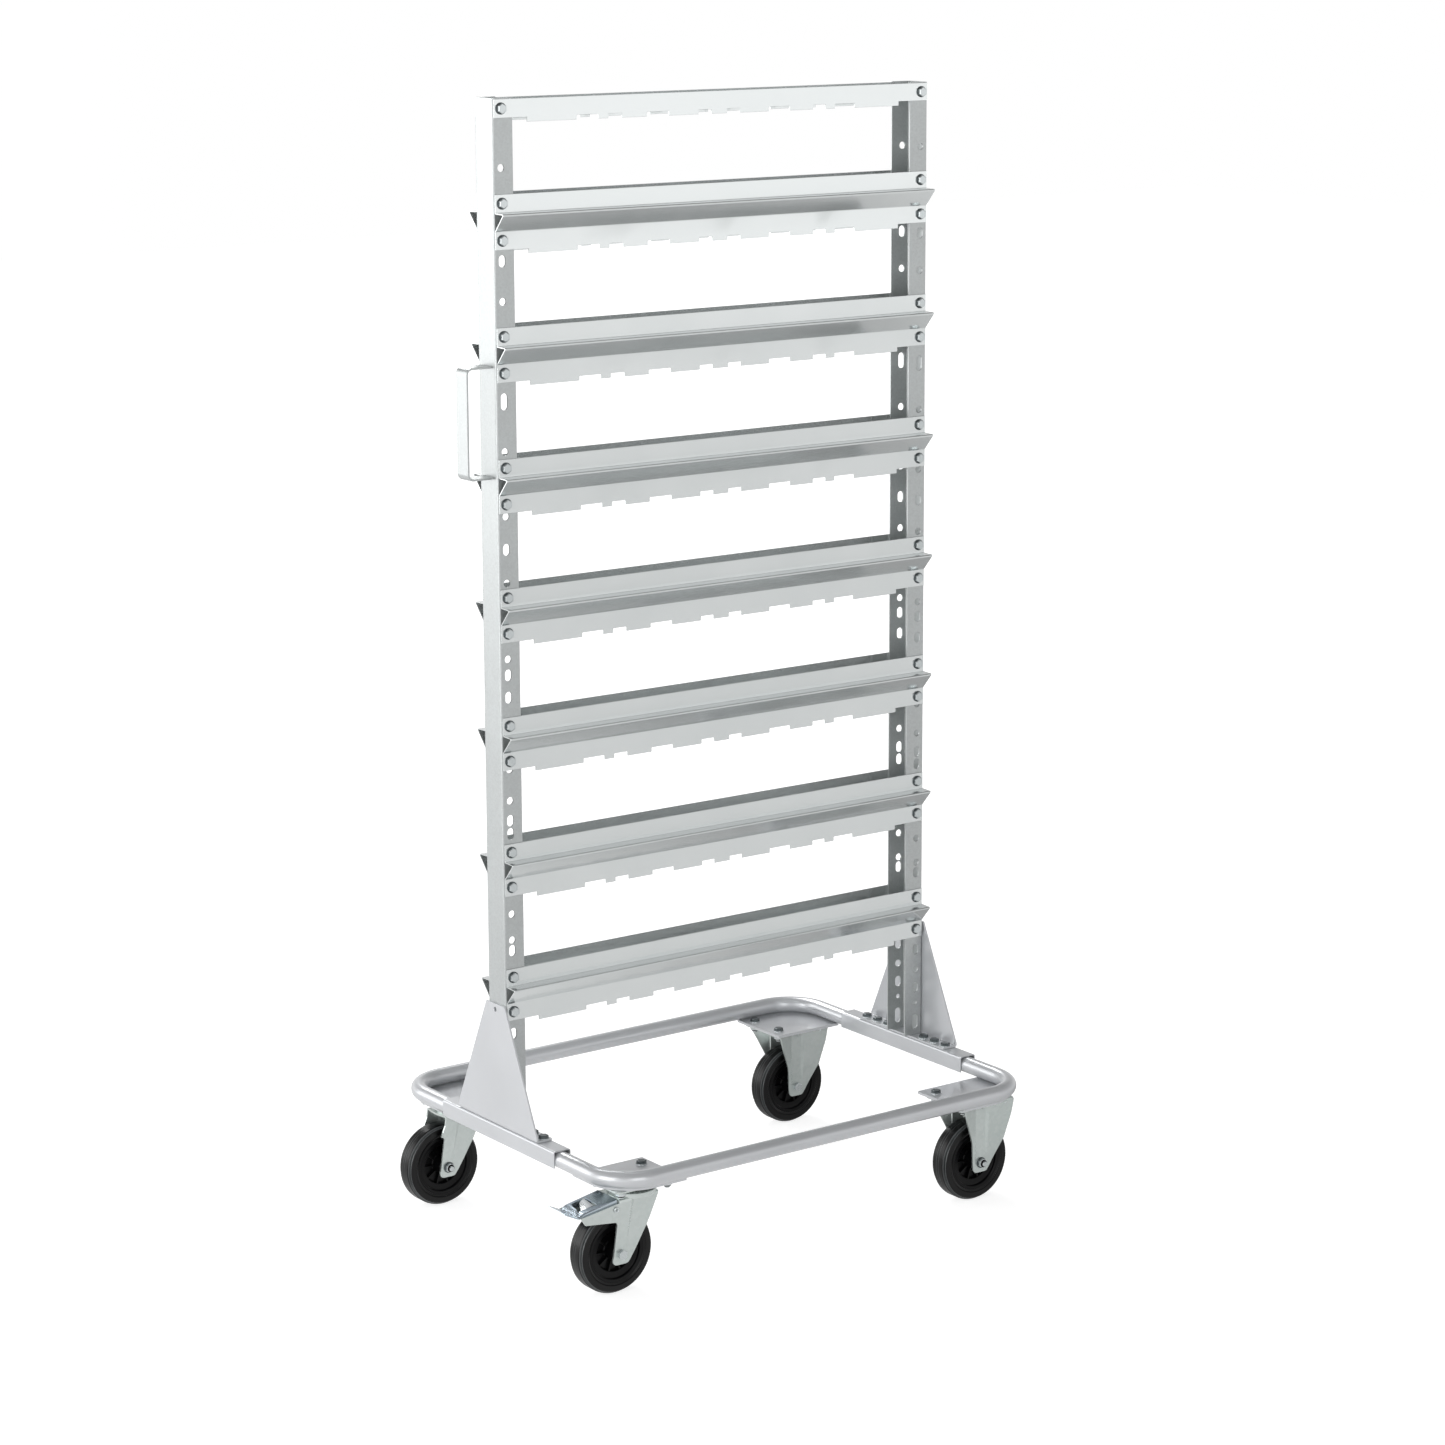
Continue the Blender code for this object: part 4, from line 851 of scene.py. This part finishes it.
pick("EDGE", lambda p: near(p.z, FOOT_Z * MM))
extrude(x=FOOT_FLANGE)
round_edges(2.4 * MM, lambda p: near(p.x, foot_middle[0]) and near(p.z, FOOT_Z * MM), 3)
round_edges(4 * MM, lambda p: p.x > foot_middle[0] + 20 * MM, 4, "VERT")
give_gauge(foot, FOOT_GAUGE * MM)
leave_edit()
bpy.ops.mesh.primitive_cylinder_add(
    vertices=24, radius=3.5 * MM, depth=20 * MM, rotation=(0, math.pi / 2, 0),
    location=(foot_middle[0], 0, (foot_top - RIVET_DROP) * MM),
)
cut_away(foot, name_it("rivet_hole"))
break_edges(foot)
smooth(foot, powder_coat)
foot_bolts = []
for side in (-1, 1):
    for step in range(3):
        bolt_y = side * (FOOT_BOLT_START + FOOT_BOLT_PITCH * step)
        spot = (MIDDLE_X - FOOT_BOLT_X * MM, bolt_y * MM, (FOOT_Z + FOOT_GAUGE / 2) * MM)
        foot_bolts.append(seated(base_bolt, spot, (0, 0, 1)))
foot = joined([foot, *foot_bolts], "foot")
for side, turn in BOTH_SIDES:
    fit(copy_of(channel, turn, f"saddle_channel_{side}"), "frame", f"foot_channel_{side}")
    fit(copy_of(foot, turn, f"gusset_foot_{side}"), "frame", f"foot_{side}")
for master in (channel, foot):
    bpy.data.objects.remove(master)

# %% [markdown]
# A plate under each corner of the tube takes the castor. Its outer corner follows the bend, and
# four bolts hold the castor, with heads above and lock nuts below. Near the tube there is no room
# for a head, so those are screws from below.

# %% Corner plates
PLATE_Z, PLATE_GAUGE, PLATE_X, PLATE_Y = 162.7, 4, 120.5, 111.5
CASTOR_X, CASTOR_Y, BOLT_DX, BOLT_DY = 312.25, 231.5, 40, 32
CASTOR_PLATE_LOW, SEAT_GAP = 157.4, 0.1


def make_corner_plate(side, face, swivels):
    centre_x, centre_y = side * (TUBE_X - PLATE_X / 2), face * (TUBE_Y - PLATE_Y / 2)
    middle = (MIDDLE_X + centre_x * MM, centre_y * MM, PLATE_Z * MM)
    plate = sheet_start("corner_plate", (PLATE_X * MM, PLATE_Y * MM), middle)

    def outward(p):
        """How far a point lies towards the outer corner, the smaller of both ways."""
        return min((p.x - middle[0]) * side, (p.y - middle[1]) * face)

    def inward(p):
        return min((middle[0] - p.x) * side, (middle[1] - p.y) * face)

    round_edges(TUBE_BEND * MM, lambda p: outward(p) > 0, 12, "VERT")
    round_edges(2 * MM, lambda p: inward(p) > 50 * MM, 3, "VERT")
    thicken(plate, PLATE_GAUGE * MM)
    smooth(plate, powder_coat)
    parts = [plate]
    for x in (-BOLT_DX, BOLT_DX):
        for y in (-BOLT_DY, BOLT_DY):
            spot = Vector((MIDDLE_X + (side * CASTOR_X + x) * MM, (face * CASTOR_Y + y) * MM, 0))
            below, above = (CASTOR_PLATE_LOW - SEAT_GAP) * MM, (PLATE_Z + PLATE_GAUGE / 2) * MM
            parts.append(seated(nut, spot + Vector((0, 0, below)), (0, 0, -1)))
            if x * side < 0 or (swivels and y * face < 0):
                parts.append(seated(base_bolt, spot + Vector((0, 0, above)), (0, 0, 1)))
    return joined(parts, "corner_plate")


for face_name, face in (("front", -1), ("rear", 1)):
    for side_name, side in (("left", -1), ("right", 1)):
        plate = make_corner_plate(side, face, side < 0)
        plate.name = plate.data.name = f"castor_corner_plate_{face_name}_{side_name}"
        fit(plate, "frame", f"corner_plate_{face_name}_{side_name}")

# %% [markdown]
# A castor leg is pressed, not only folded. The fixed bracket has a flat panel over the axle and a
# facet on each side that leans away from it. The fork's front part is set 2 mm closer to the wheel
# by a crease, and its last rows lie on the crown that closes it over the wheel. Each row below
# gives a height over the axle and then the places along and across. The rounded end has for each
# height only its back and its front.

# %% Rows of the castor legs
PANEL = -26.5
ROUNDED_END = (
    (-15, -8, 7.1), (-14.06, -11.5, 10.6), (-12.95, -12.95, 12.05), (-11.5, -14.06, 13.2), (-8, -15, 15.9),
)
PRESSED = (PANEL, PANEL, -24.3, -23.8)
FORK_ROWS = (
    (0, (-12.9, -1, 9, 21.4), (PANEL,) * 4),
    (10, (-11.5, 3, 10, 28.3), (-26.5, -26.5, -26, -26)),
    (24, (-9.5, 8, 12, 38), (-26.5, -26.5, -24.8, -24.6)),
    (34, (-8.1, 10, 14, 45), PRESSED),
    (44, (-6.6, 12, 16, 50), PRESSED),
    (46.4, (-7.2, 12.4, 16.4, 51.3), PRESSED),
    (48.1, (-8.8, 12.8, 16.8, 52.1), PRESSED),
    (49, (-11.6, 13, 17.2, 52.5), PRESSED),
    (66, (-4.3, 16, 20.4, 61.2), (-26.5, -26.5, -24.1, -23)),
    (76, (-3, 18, 22.4, 66), (-26.5, -26.5, -24, -22.7)),
    (78.4, (-3, 18.4, 23, 67), (-25.8, -25.8, -23.6, -22.2)),
    (79, (-3, 18.4, 23, 67.4), (-23.4, -23.4, -22.4, -20.5)),
    (79, (-5, 18.4, 23, 67.6), (-10,) * 4),
    (79, (-6, 18.4, 23, 67.6), (0,) * 4),
)
BRACKET_ROWS = (
    (0, (-15.9, -11, -10, 9, 11, 21), (PANEL,) * 6),
    (8, (-16.4, -11.8, -10.6, 8, 11.6, 26.3), (-27, -27.2, -26.5, -26.5, -27, -27)),
    (33, (-17.9, -12.4, -11.2, 7.4, 12, 43), (-27.8, -27.8, -26.5, -26.5, -28, -29.4)),
    (45, (-22, -12.8, -11.6, 7.4, 12.6, 46), (-29.2, -27.9, -26.5, -26.5, -28.1, -31)),
    (70, (-33.2, -13.4, -12.2, 8, 14, 52), (-34.4, -28, -26.5, -26.5, -28.4, -35)),
    (83, (-39, -13.8, -12.6, 8.4, 14.7, 52), (-38.6, -28.6, -26.5, -26.5, -28.9, -38.6)),
    (93, (-43.6, -14, -12.8, 9, 15.3, 52), (-41, -30, -28, -28, -30.4, -41)),
    (96.3, (-45, -14, -12.8, 9, 15.5, 52), (-41, -32, -30, -30, -32.4, -41)),
)
print(len(FORK_ROWS), "rows in a fork leg and", len(BRACKET_ROWS), "in a bracket leg")

# %% [markdown]
# A small grid is laid out, and every point of it is moved to its place in the rows. Mirror makes
# the leg on the other side of the wheel, and Solidify the 3 mm sheet. The braked fork also has two
# wings, drawn out of the back edges of its legs, which carry the pedal.

# %% Pressed castor legs
FORK_GAUGE = 3


def move_points(piece, targets):
    """In edit mode, moves every point of a grid or circle to its target in millimetres, in turn."""
    bpy.ops.mesh.select_mode(type="VERT")
    for index, target in enumerate(targets):
        bpy.ops.mesh.select_all(action="DESELECT")
        shape = bmesh.from_edit_mesh(piece.data)
        shape.verts.ensure_lookup_table()
        shape.verts[index].select_set(True)
        here = shape.verts[index].co / MM
        bmesh.update_edit_mesh(piece.data)
        shift(*(Vector(target) - here))


def pressed_leg(name, table):
    """A sheet from its rounded end under the axle up through the rows of the table."""
    columns = len(table[0][1])
    steps = [step / (columns - 1) for step in range(columns)]
    points = [(back + (front - back) * step, PANEL, z) for z, back, front in ROUNDED_END for step in steps]
    points += [(x, y, z) for z, xs, ys in table for x, y in zip(xs, ys)]
    leave_edit()
    bpy.ops.mesh.primitive_grid_add(
        x_subdivisions=columns - 1, y_subdivisions=len(points) // columns - 1, size=10 * MM,
    )
    sheet = name_it(name)
    bpy.ops.object.mode_set(mode="EDIT")
    move_points(sheet, points)
    return sheet


def with_wings(sheet):
    """Draws the back edge of a leg out into the wing that carries the brake."""
    pick("EDGE", lambda p: p.x < -3.2 * MM and 49 * MM < p.z < 77 * MM and p.y < -26 * MM)
    extrude(x=-57)
    for height, move_x, move_z in ((49, 8.3, 5.7), (66, -3.5, -4.5), (76, -8.4, -9.5)):
        pick("VERT", lambda p: p.x < -55 * MM and near(p.z, height * MM))
        shift(x=move_x, z=move_z)
    return sheet


def finish_leg(sheet):
    """Mirrors a leg to the wheel's other side and gives it its gauge and finish."""
    modify(sheet, "MIRROR", use_axis=(False, True, False), use_clip=True, merge_threshold=0.02 * MM)
    leave_edit()
    bpy.context.view_layer.objects.active = sheet
    bpy.ops.object.mode_set(mode="EDIT")
    face_outward()
    thicken(sheet, FORK_GAUGE * MM)
    smooth(sheet, bright_zinc, 9)
    return sheet


braked_fork = finish_leg(with_wings(pressed_leg("braked_fork", FORK_ROWS)))
plain_fork = finish_leg(pressed_leg("plain_fork", FORK_ROWS))
bracket_legs = finish_leg(pressed_leg("bracket_legs", BRACKET_ROWS))
print("fork", len(braked_fork.data.polygons), "faces")

# %% [markdown]
# Each castor piece is made once round an axle at the origin and copied to its wheels, whose
# places come from the CAD tyres. The swivel axis stands 36.5 mm in front of the axle.

# %% Places of the castors
TRAIL = 36.5
TOP_LONG, TOP_WIDE, TOP_Z = 105, 85, 96.4
WHEELS = [f"{face}_{side}" for side in ("left", "right") for face in ("front", "rear")]
axles = {}
for wheel in WHEELS:
    tyre_low, tyre_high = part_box(f"tyre_{wheel}")
    axles[wheel] = Matrix.Translation((tyre_low + tyre_high) / 2)


def fit_copy(master, wheel, name, body, node):
    """A copy of a castor piece at one wheel, in the place of that wheel's CAD node."""
    fit(copy_of(master, axles[wheel], f"{name}_{wheel}"), body, f"{node}_{wheel}")


def plate_sheet(name, middle_x):
    """The top plate of a castor, with rounded corners."""
    plate = sheet_start(name, (TOP_LONG * MM, TOP_WIDE * MM), (middle_x * MM, 0, TOP_Z * MM))
    round_edges(5 * MM, lambda p: True, 5, "VERT")
    thicken(plate, FORK_GAUGE * MM)
    smooth(plate, bright_zinc)
    return plate


print("axles of", WHEELS)

# %% [markdown]
# The swivel is a double ball race. Its lower cup is pressed with the fork, its upper cup with the
# top plate, and a ring of balls lies between them. A kingpin is riveted up through the middle, and
# its domed head is seen from below, over the wheel.

# %% Swivel heads
lower_cup = [(5.8, 79), (35, 79), (35.7, 80.6), (36, 82.5), (36, 85.9), (35.4, 86.5), (30.4, 86.5)]
lower_cup += [(27, 86), (24, 86.5), (16, 84.2), (5.8, 83.5), (5.8, 79)]
upper_cup = [(5.8, 92.5), (16, 91.8), (24, 89.5), (27, 90), (30, 89.5), (32.4, 89.5), (33, 90.1)]
upper_cup += [(33, 93.6), (34.2, 94.9), (34.2, 96.4), (5.8, 96.4), (5.8, 92.5)]
king_outline = [(0, 71.7), (4.6, 71.9), (7.4, 73), (8.7, 75), (9, 76.6), (8.6, 77.2), (5.5, 77.2)]
king_outline += [(5.5, 97.8), (0, 97.8)]
BALLS, BALL_RADIUS, BALL_CIRCLE, BALL_Z = 22, 1.4, 27, 88


def bright_lathe(name, outline):
    """A zinc plated round piece about the swivel axis."""
    ring = lathe(name, outline, 48, centre=(TRAIL, 0, 0))
    smooth(ring, bright_zinc)
    return ring


swivel_plate = plate_sheet("swivel_plate", TRAIL)
swivel_plate = joined([swivel_plate, bright_lathe("upper_cup", upper_cup)], "swivel_plate")
kingpin = bright_lathe("kingpin", king_outline)
balls = []
for number in range(BALLS):
    turn = math.tau * number / BALLS
    ball_x, ball_y = TRAIL + BALL_CIRCLE * math.cos(turn), BALL_CIRCLE * math.sin(turn)
    leave_edit()
    bpy.ops.mesh.primitive_ico_sphere_add(
        subdivisions=2, radius=BALL_RADIUS * MM, location=(ball_x * MM, ball_y * MM, BALL_Z * MM),
    )
    bpy.ops.object.transform_apply(location=True)
    balls.append(name_it("ball"))
ball_ring = joined(balls, "ball_ring")
smooth(ball_ring, bright_zinc, 60)
for wheel, has_brake in (("front_left", True), ("rear_left", False)):
    fork = copy_of(braked_fork if has_brake else plain_fork)
    fork = joined([fork, bright_lathe("lower_cup", lower_cup)], f"pressed_fork_{wheel}")
    fork.data.transform(axles[wheel])
    fit(fork, f"castor_fork_{wheel}", f"fork_{wheel}")
    fit_copy(ball_ring, wheel, "balls", f"castor_fork_{wheel}", "ball_race")
    fit_copy(swivel_plate, wheel, "swivel_plate", "frame", "castor_plate")
    fit_copy(kingpin, wheel, "kingpin_rivet", "frame", "kingpin")

# %% [markdown]
# A fixed castor is one pressing: the top plate folds down into both legs. A dart is pressed into
# the top of each leg, which stiffens the fold. It shows as a dark V under the plate, and is cut out
# here by a four-sided cone that stands on its point.

# %% Fixed brackets
darts = []
for way in (-1, 1):
    leave_edit()
    bpy.ops.mesh.primitive_cone_add(
        vertices=4, radius1=8 * MM, depth=16 * MM, location=(1 * MM, way * 29.5 * MM, 88.5 * MM),
        rotation=(math.pi, 0, 0),
    )
    darts.append(name_it("dart"))
cut_away(bracket_legs, joined(darts, "darts"))
fixed_bracket = joined([bracket_legs, plate_sheet("bracket_plate", 0)], "fixed_bracket")
for wheel in ("front_right", "rear_right"):
    fit_copy(fixed_bracket, wheel, "pressed_bracket", "frame", "castor_bracket")

# %% [markdown]
# A wheel is a moulded centre with a hub, a thin web between ribs and a stepped rim, and a solid
# tyre pressed on it. The tread stands proud between two shoulder grooves and has two fine grooves
# of its own. All four are painted light grey as a highlight, which shows as bright arcs. Centre and
# tyre are lathed from outlines of one half, and the ribs are blocks copied round the hub.

# %% Wheels
half_tyre = [(46, 15), (48.6, 16.2), (49.4, 15.6), (50.2, 16.5), (51.5, 16.8), (57.2, 16.7), (58.9, 15.9)]
half_tyre += [(59.6, 14.8), (59.4, 14.2), (57.6, 13.4), (57.6, 12.4), (60.6, 11.6), (61.6, 11), (62.3, 9.9)]
half_tyre += [(62.5, 8.8), (62.5, 3.4), (62.1, 3), (62.1, 1.8), (62.5, 1.4)]
HIGHLIGHT_FROM, HIGHLIGHT_TO, TREAD_LINE = 58.6, 61.3, 3.5
half_rim = [(6.3, 24.5), (13.3, 24.5), (14, 23.8), (14.6, 5.2), (15.8, 4), (28.6, 4), (29.9, 5), (30.5, 9.3)]
half_rim += [(31.3, 10), (38.4, 10.4), (39.9, 11.4), (40.6, 14.2), (41.6, 15), (45.7, 15)]
RIBS, HUB_RADIUS, RIB_LENGTH, RIB_GAUGE, RIB_DEEP = 10, 14, 16.6, 2.5, 18


def block(name, size, centre):
    """A plain block, its size and middle in millimetres."""
    leave_edit()
    bpy.ops.mesh.primitive_cube_add(size=1, location=Vector(centre) * MM)
    piece = name_it(name)
    piece.scale = Vector(size) * MM
    bpy.ops.object.transform_apply(location=True, scale=True)
    return piece


def both_halves(half):
    """A closed outline from the half on one side of the wheel."""
    return half + [(radius, -across) for radius, across in reversed(half)] + half[:1]


tyre = lathe("tyre", both_halves(half_tyre), 96, "Y")
smooth(tyre, black_rubber, 16)
tyre.data.materials.append(groove_highlight_rubber)
# Painted highlight: faces in the grooves take the light grey rubber.
for face in tyre.data.polygons:
    reach = math.hypot(face.center.x, face.center.z)
    in_tread_line = abs(face.center.y) < TREAD_LINE * MM and abs(face.normal.y) > 0.5
    if in_tread_line or HIGHLIGHT_FROM * MM < reach < HIGHLIGHT_TO * MM:
        face.material_index = 1
rim = lathe("rim", both_halves(half_rim), 72, "Y")
ribs = []
for number in range(RIBS):
    rib = block("rib", (RIB_LENGTH, RIB_DEEP, RIB_GAUGE), (HUB_RADIUS + RIB_LENGTH / 2, 0, 0))
    rib.data.transform(Matrix.Rotation(math.tau * number / RIBS, 4, "Y"))
    ribs.append(rib)
rim = joined([rim, *ribs], "rim")
smooth(rim, black_plastic)
for wheel in WHEELS:
    fit_copy(tyre, wheel, "solid_tyre", f"wheel_{wheel}", "tyre")
    fit_copy(rim, wheel, "moulded_centre", f"wheel_{wheel}", "rim")

# %% [markdown]
# The axle is a hexagon bolt through both legs with a lock nut. Two of the four show their nut to
# the front and two their head, just as the wheels happened to be put on.

# %% Axles
LEG_FACE = 28.2
NUT_TO_FRONT = ("rear_left", "front_right")
rod_outline = [(0, -LEG_FACE), (4, -LEG_FACE), (4, LEG_FACE), (0, LEG_FACE)]
for wheel in WHEELS:
    front, back = (nut, axle_head) if wheel in NUT_TO_FRONT else (axle_head, nut)
    shank = lathe("shank", rod_outline, 24, "Y")
    smooth(shank, bolt_zinc)
    front = seated(front, (0, -LEG_FACE * MM, 0), (0, -1, 0))
    back = seated(back, (0, LEG_FACE * MM, 0), (0, 1, 0))
    axle = joined([shank, front, back], f"axle_bolt_{wheel}")
    axle.data.transform(axles[wheel])
    body = f"castor_fork_{wheel}" if "left" in wheel else "frame"
    fit(axle, body, f"axle_{wheel}")

# %% [markdown]
# The brake pedal is folded from 2 mm sheet: a top with two flanges that hang on the pin, a dip and
# an upturned lip for the foot. It is drawn level from its pivot. The flanges are extruded straight
# down, and then their lower corners are moved, given as (x, old z, new z), so that they are deep
# at the pin and taper towards the dip.

# %% Brake pedal
PEDAL_GAUGE, PEDAL_HALF, PEDAL_TOP, PEDAL_BOSS = 2, 23.7, 12.6, 5.8
TOP_BACK, DIP_BACK, LIP_BACK = 50, 60, 81.03
DIP_DROP, LIP_RISE, FLANGE_DROP = 3.4, 15.28, 10
FLANGE_CORNERS = ((PEDAL_BOSS, 2.6, -PEDAL_BOSS), (-PEDAL_BOSS, 2.6, -PEDAL_BOSS))
FLANGE_CORNERS += ((-TOP_BACK, 2.6, 6.4), (-DIP_BACK, -0.8, 8.2))
pedal_size = ((TOP_BACK + PEDAL_BOSS) * MM, 2 * PEDAL_HALF * MM)
pedal = sheet_start("pedal", pedal_size, ((PEDAL_BOSS - TOP_BACK) / 2 * MM, 0, PEDAL_TOP * MM))
pick("FACE", lambda p: True)
bpy.ops.mesh.bisect(plane_co=(-PEDAL_BOSS * MM, 0, 0), plane_no=(1, 0, 0))
pick("EDGE", lambda p: near(p.x, -TOP_BACK * MM))
extrude(x=TOP_BACK - DIP_BACK, z=-DIP_DROP)
pick("EDGE", lambda p: near(p.x, -DIP_BACK * MM))
extrude(x=DIP_BACK - LIP_BACK, z=LIP_RISE)
pick("EDGE", lambda p: near(abs(p.y), PEDAL_HALF * MM) and p.x > -DIP_BACK * MM)
extrude(z=-FLANGE_DROP)
for corner_x, old_z, new_z in FLANGE_CORNERS:
    pick("VERT", lambda p: near(p.x, corner_x * MM) and near(p.z, old_z * MM))
    shift(z=new_z - old_z)
round_edges(5.6 * MM, lambda p: near(abs(p.x), PEDAL_BOSS * MM) and near(p.z, -PEDAL_BOSS * MM), 5, "VERT")
round_edges(2 * MM, lambda p: near(abs(p.y), PEDAL_HALF * MM) and p.z > 10.5 * MM and p.x > -59 * MM, 3)
round_edges(6 * MM, lambda p: near(p.x, -LIP_BACK * MM), 4, "VERT")
give_gauge(pedal, PEDAL_GAUGE * MM)
smooth(pedal, blue_zinc)
print("pedal", len(pedal.data.polygons), "faces before its window")

# %% [markdown]
# The top has a four-cornered window with rounded corners. A tongue of the sheet stands up in it,
# and the shoe that bears on the tyre is a block under it. The pedal is then tilted to its rest and
# set on its pivot, which lies behind and above the axle.

# %% Window, tongue and shoe
WINDOW, WINDOW_LOW, WINDOW_DEEP = ((-20, 17.6), (-45, 17.2), (-52, -12), (-22, -16)), PEDAL_TOP - 4, 8
PIVOT_BACK, PIVOT_UP, PEDAL_TILT = 9, 68, 10.6
leave_edit()
bpy.ops.mesh.primitive_circle_add(vertices=4, fill_type="NGON", radius=10 * MM)
window = name_it("window")
bpy.ops.object.mode_set(mode="EDIT")
move_points(window, [(x, y, WINDOW_LOW) for x, y in WINDOW])
pick_all()
bpy.ops.mesh.bevel(offset=2 * MM, segments=4, affect="VERTICES")
pick_all()
extrude(z=WINDOW_DEEP)
face_outward()
cut_away(pedal, window)
break_edges(pedal)
smooth(pedal, blue_zinc)

tongue = sheet_start("tongue", (22 * MM, 16 * MM), (-36 * MM, -3 * MM, (PEDAL_TOP - 1) * MM))
pick("VERT", lambda p: p.x < -40 * MM and p.y > 0)
shift(x=11, y=4, z=2)
pick("VERT", lambda p: p.x > -30 * MM and p.y > 0)
shift(x=-2, y=5, z=6)
thicken(tongue, 1.6 * MM)
smooth(tongue, rail_zinc)

shoe = block("shoe", (10, 18, 14.8), (-11.5, 0, 5.2))
modify(shoe, "BEVEL", width=1 * MM, segments=2, limit_method="ANGLE")
smooth(shoe, bright_zinc)
pedal = joined([pedal, tongue, shoe], "folded_brake_pedal")
pivot = Matrix.Translation((-PIVOT_BACK * MM, 0, PIVOT_UP * MM))
pedal.data.transform(axles["front_left"] @ pivot @ Matrix.Rotation(math.radians(-PEDAL_TILT), 4, "Y"))
fit(pedal, "brake", "brake_pedal")

# %% [markdown]
# The pedal turns on a tubular rivet, whose rolled ends show as a small ring on each wing.

# %% Brake rivet
half_rivet = [(2, 30.2), (3.4, 30.8), (4.2, 30.4), (4.5, 29.5), (4.5, 28.3), (3, 28.3)]
rivet = lathe("tubular_brake_rivet", both_halves(half_rivet), 24, "Y")
smooth(rivet, bolt_zinc)
rivet.data.transform(axles["front_left"] @ pivot)
fit(rivet, "castor_fork_front_left", "brake_pin")

# %% [markdown]
# The fasteners, castor pressings, tyre and wheel centre above were patterns to copy from. They are
# taken out again, so only the copies that are bolted to the rack stay in the scene.

# %% Patterns taken out
patterns = [bolt_head, base_bolt, axle_head, nut, braked_fork, plain_fork, fixed_bracket]
patterns += [ball_ring, swivel_plate, kingpin, tyre, rim]
for master in patterns:
    bpy.data.objects.remove(master)
print(len(patterns), "patterns taken out")
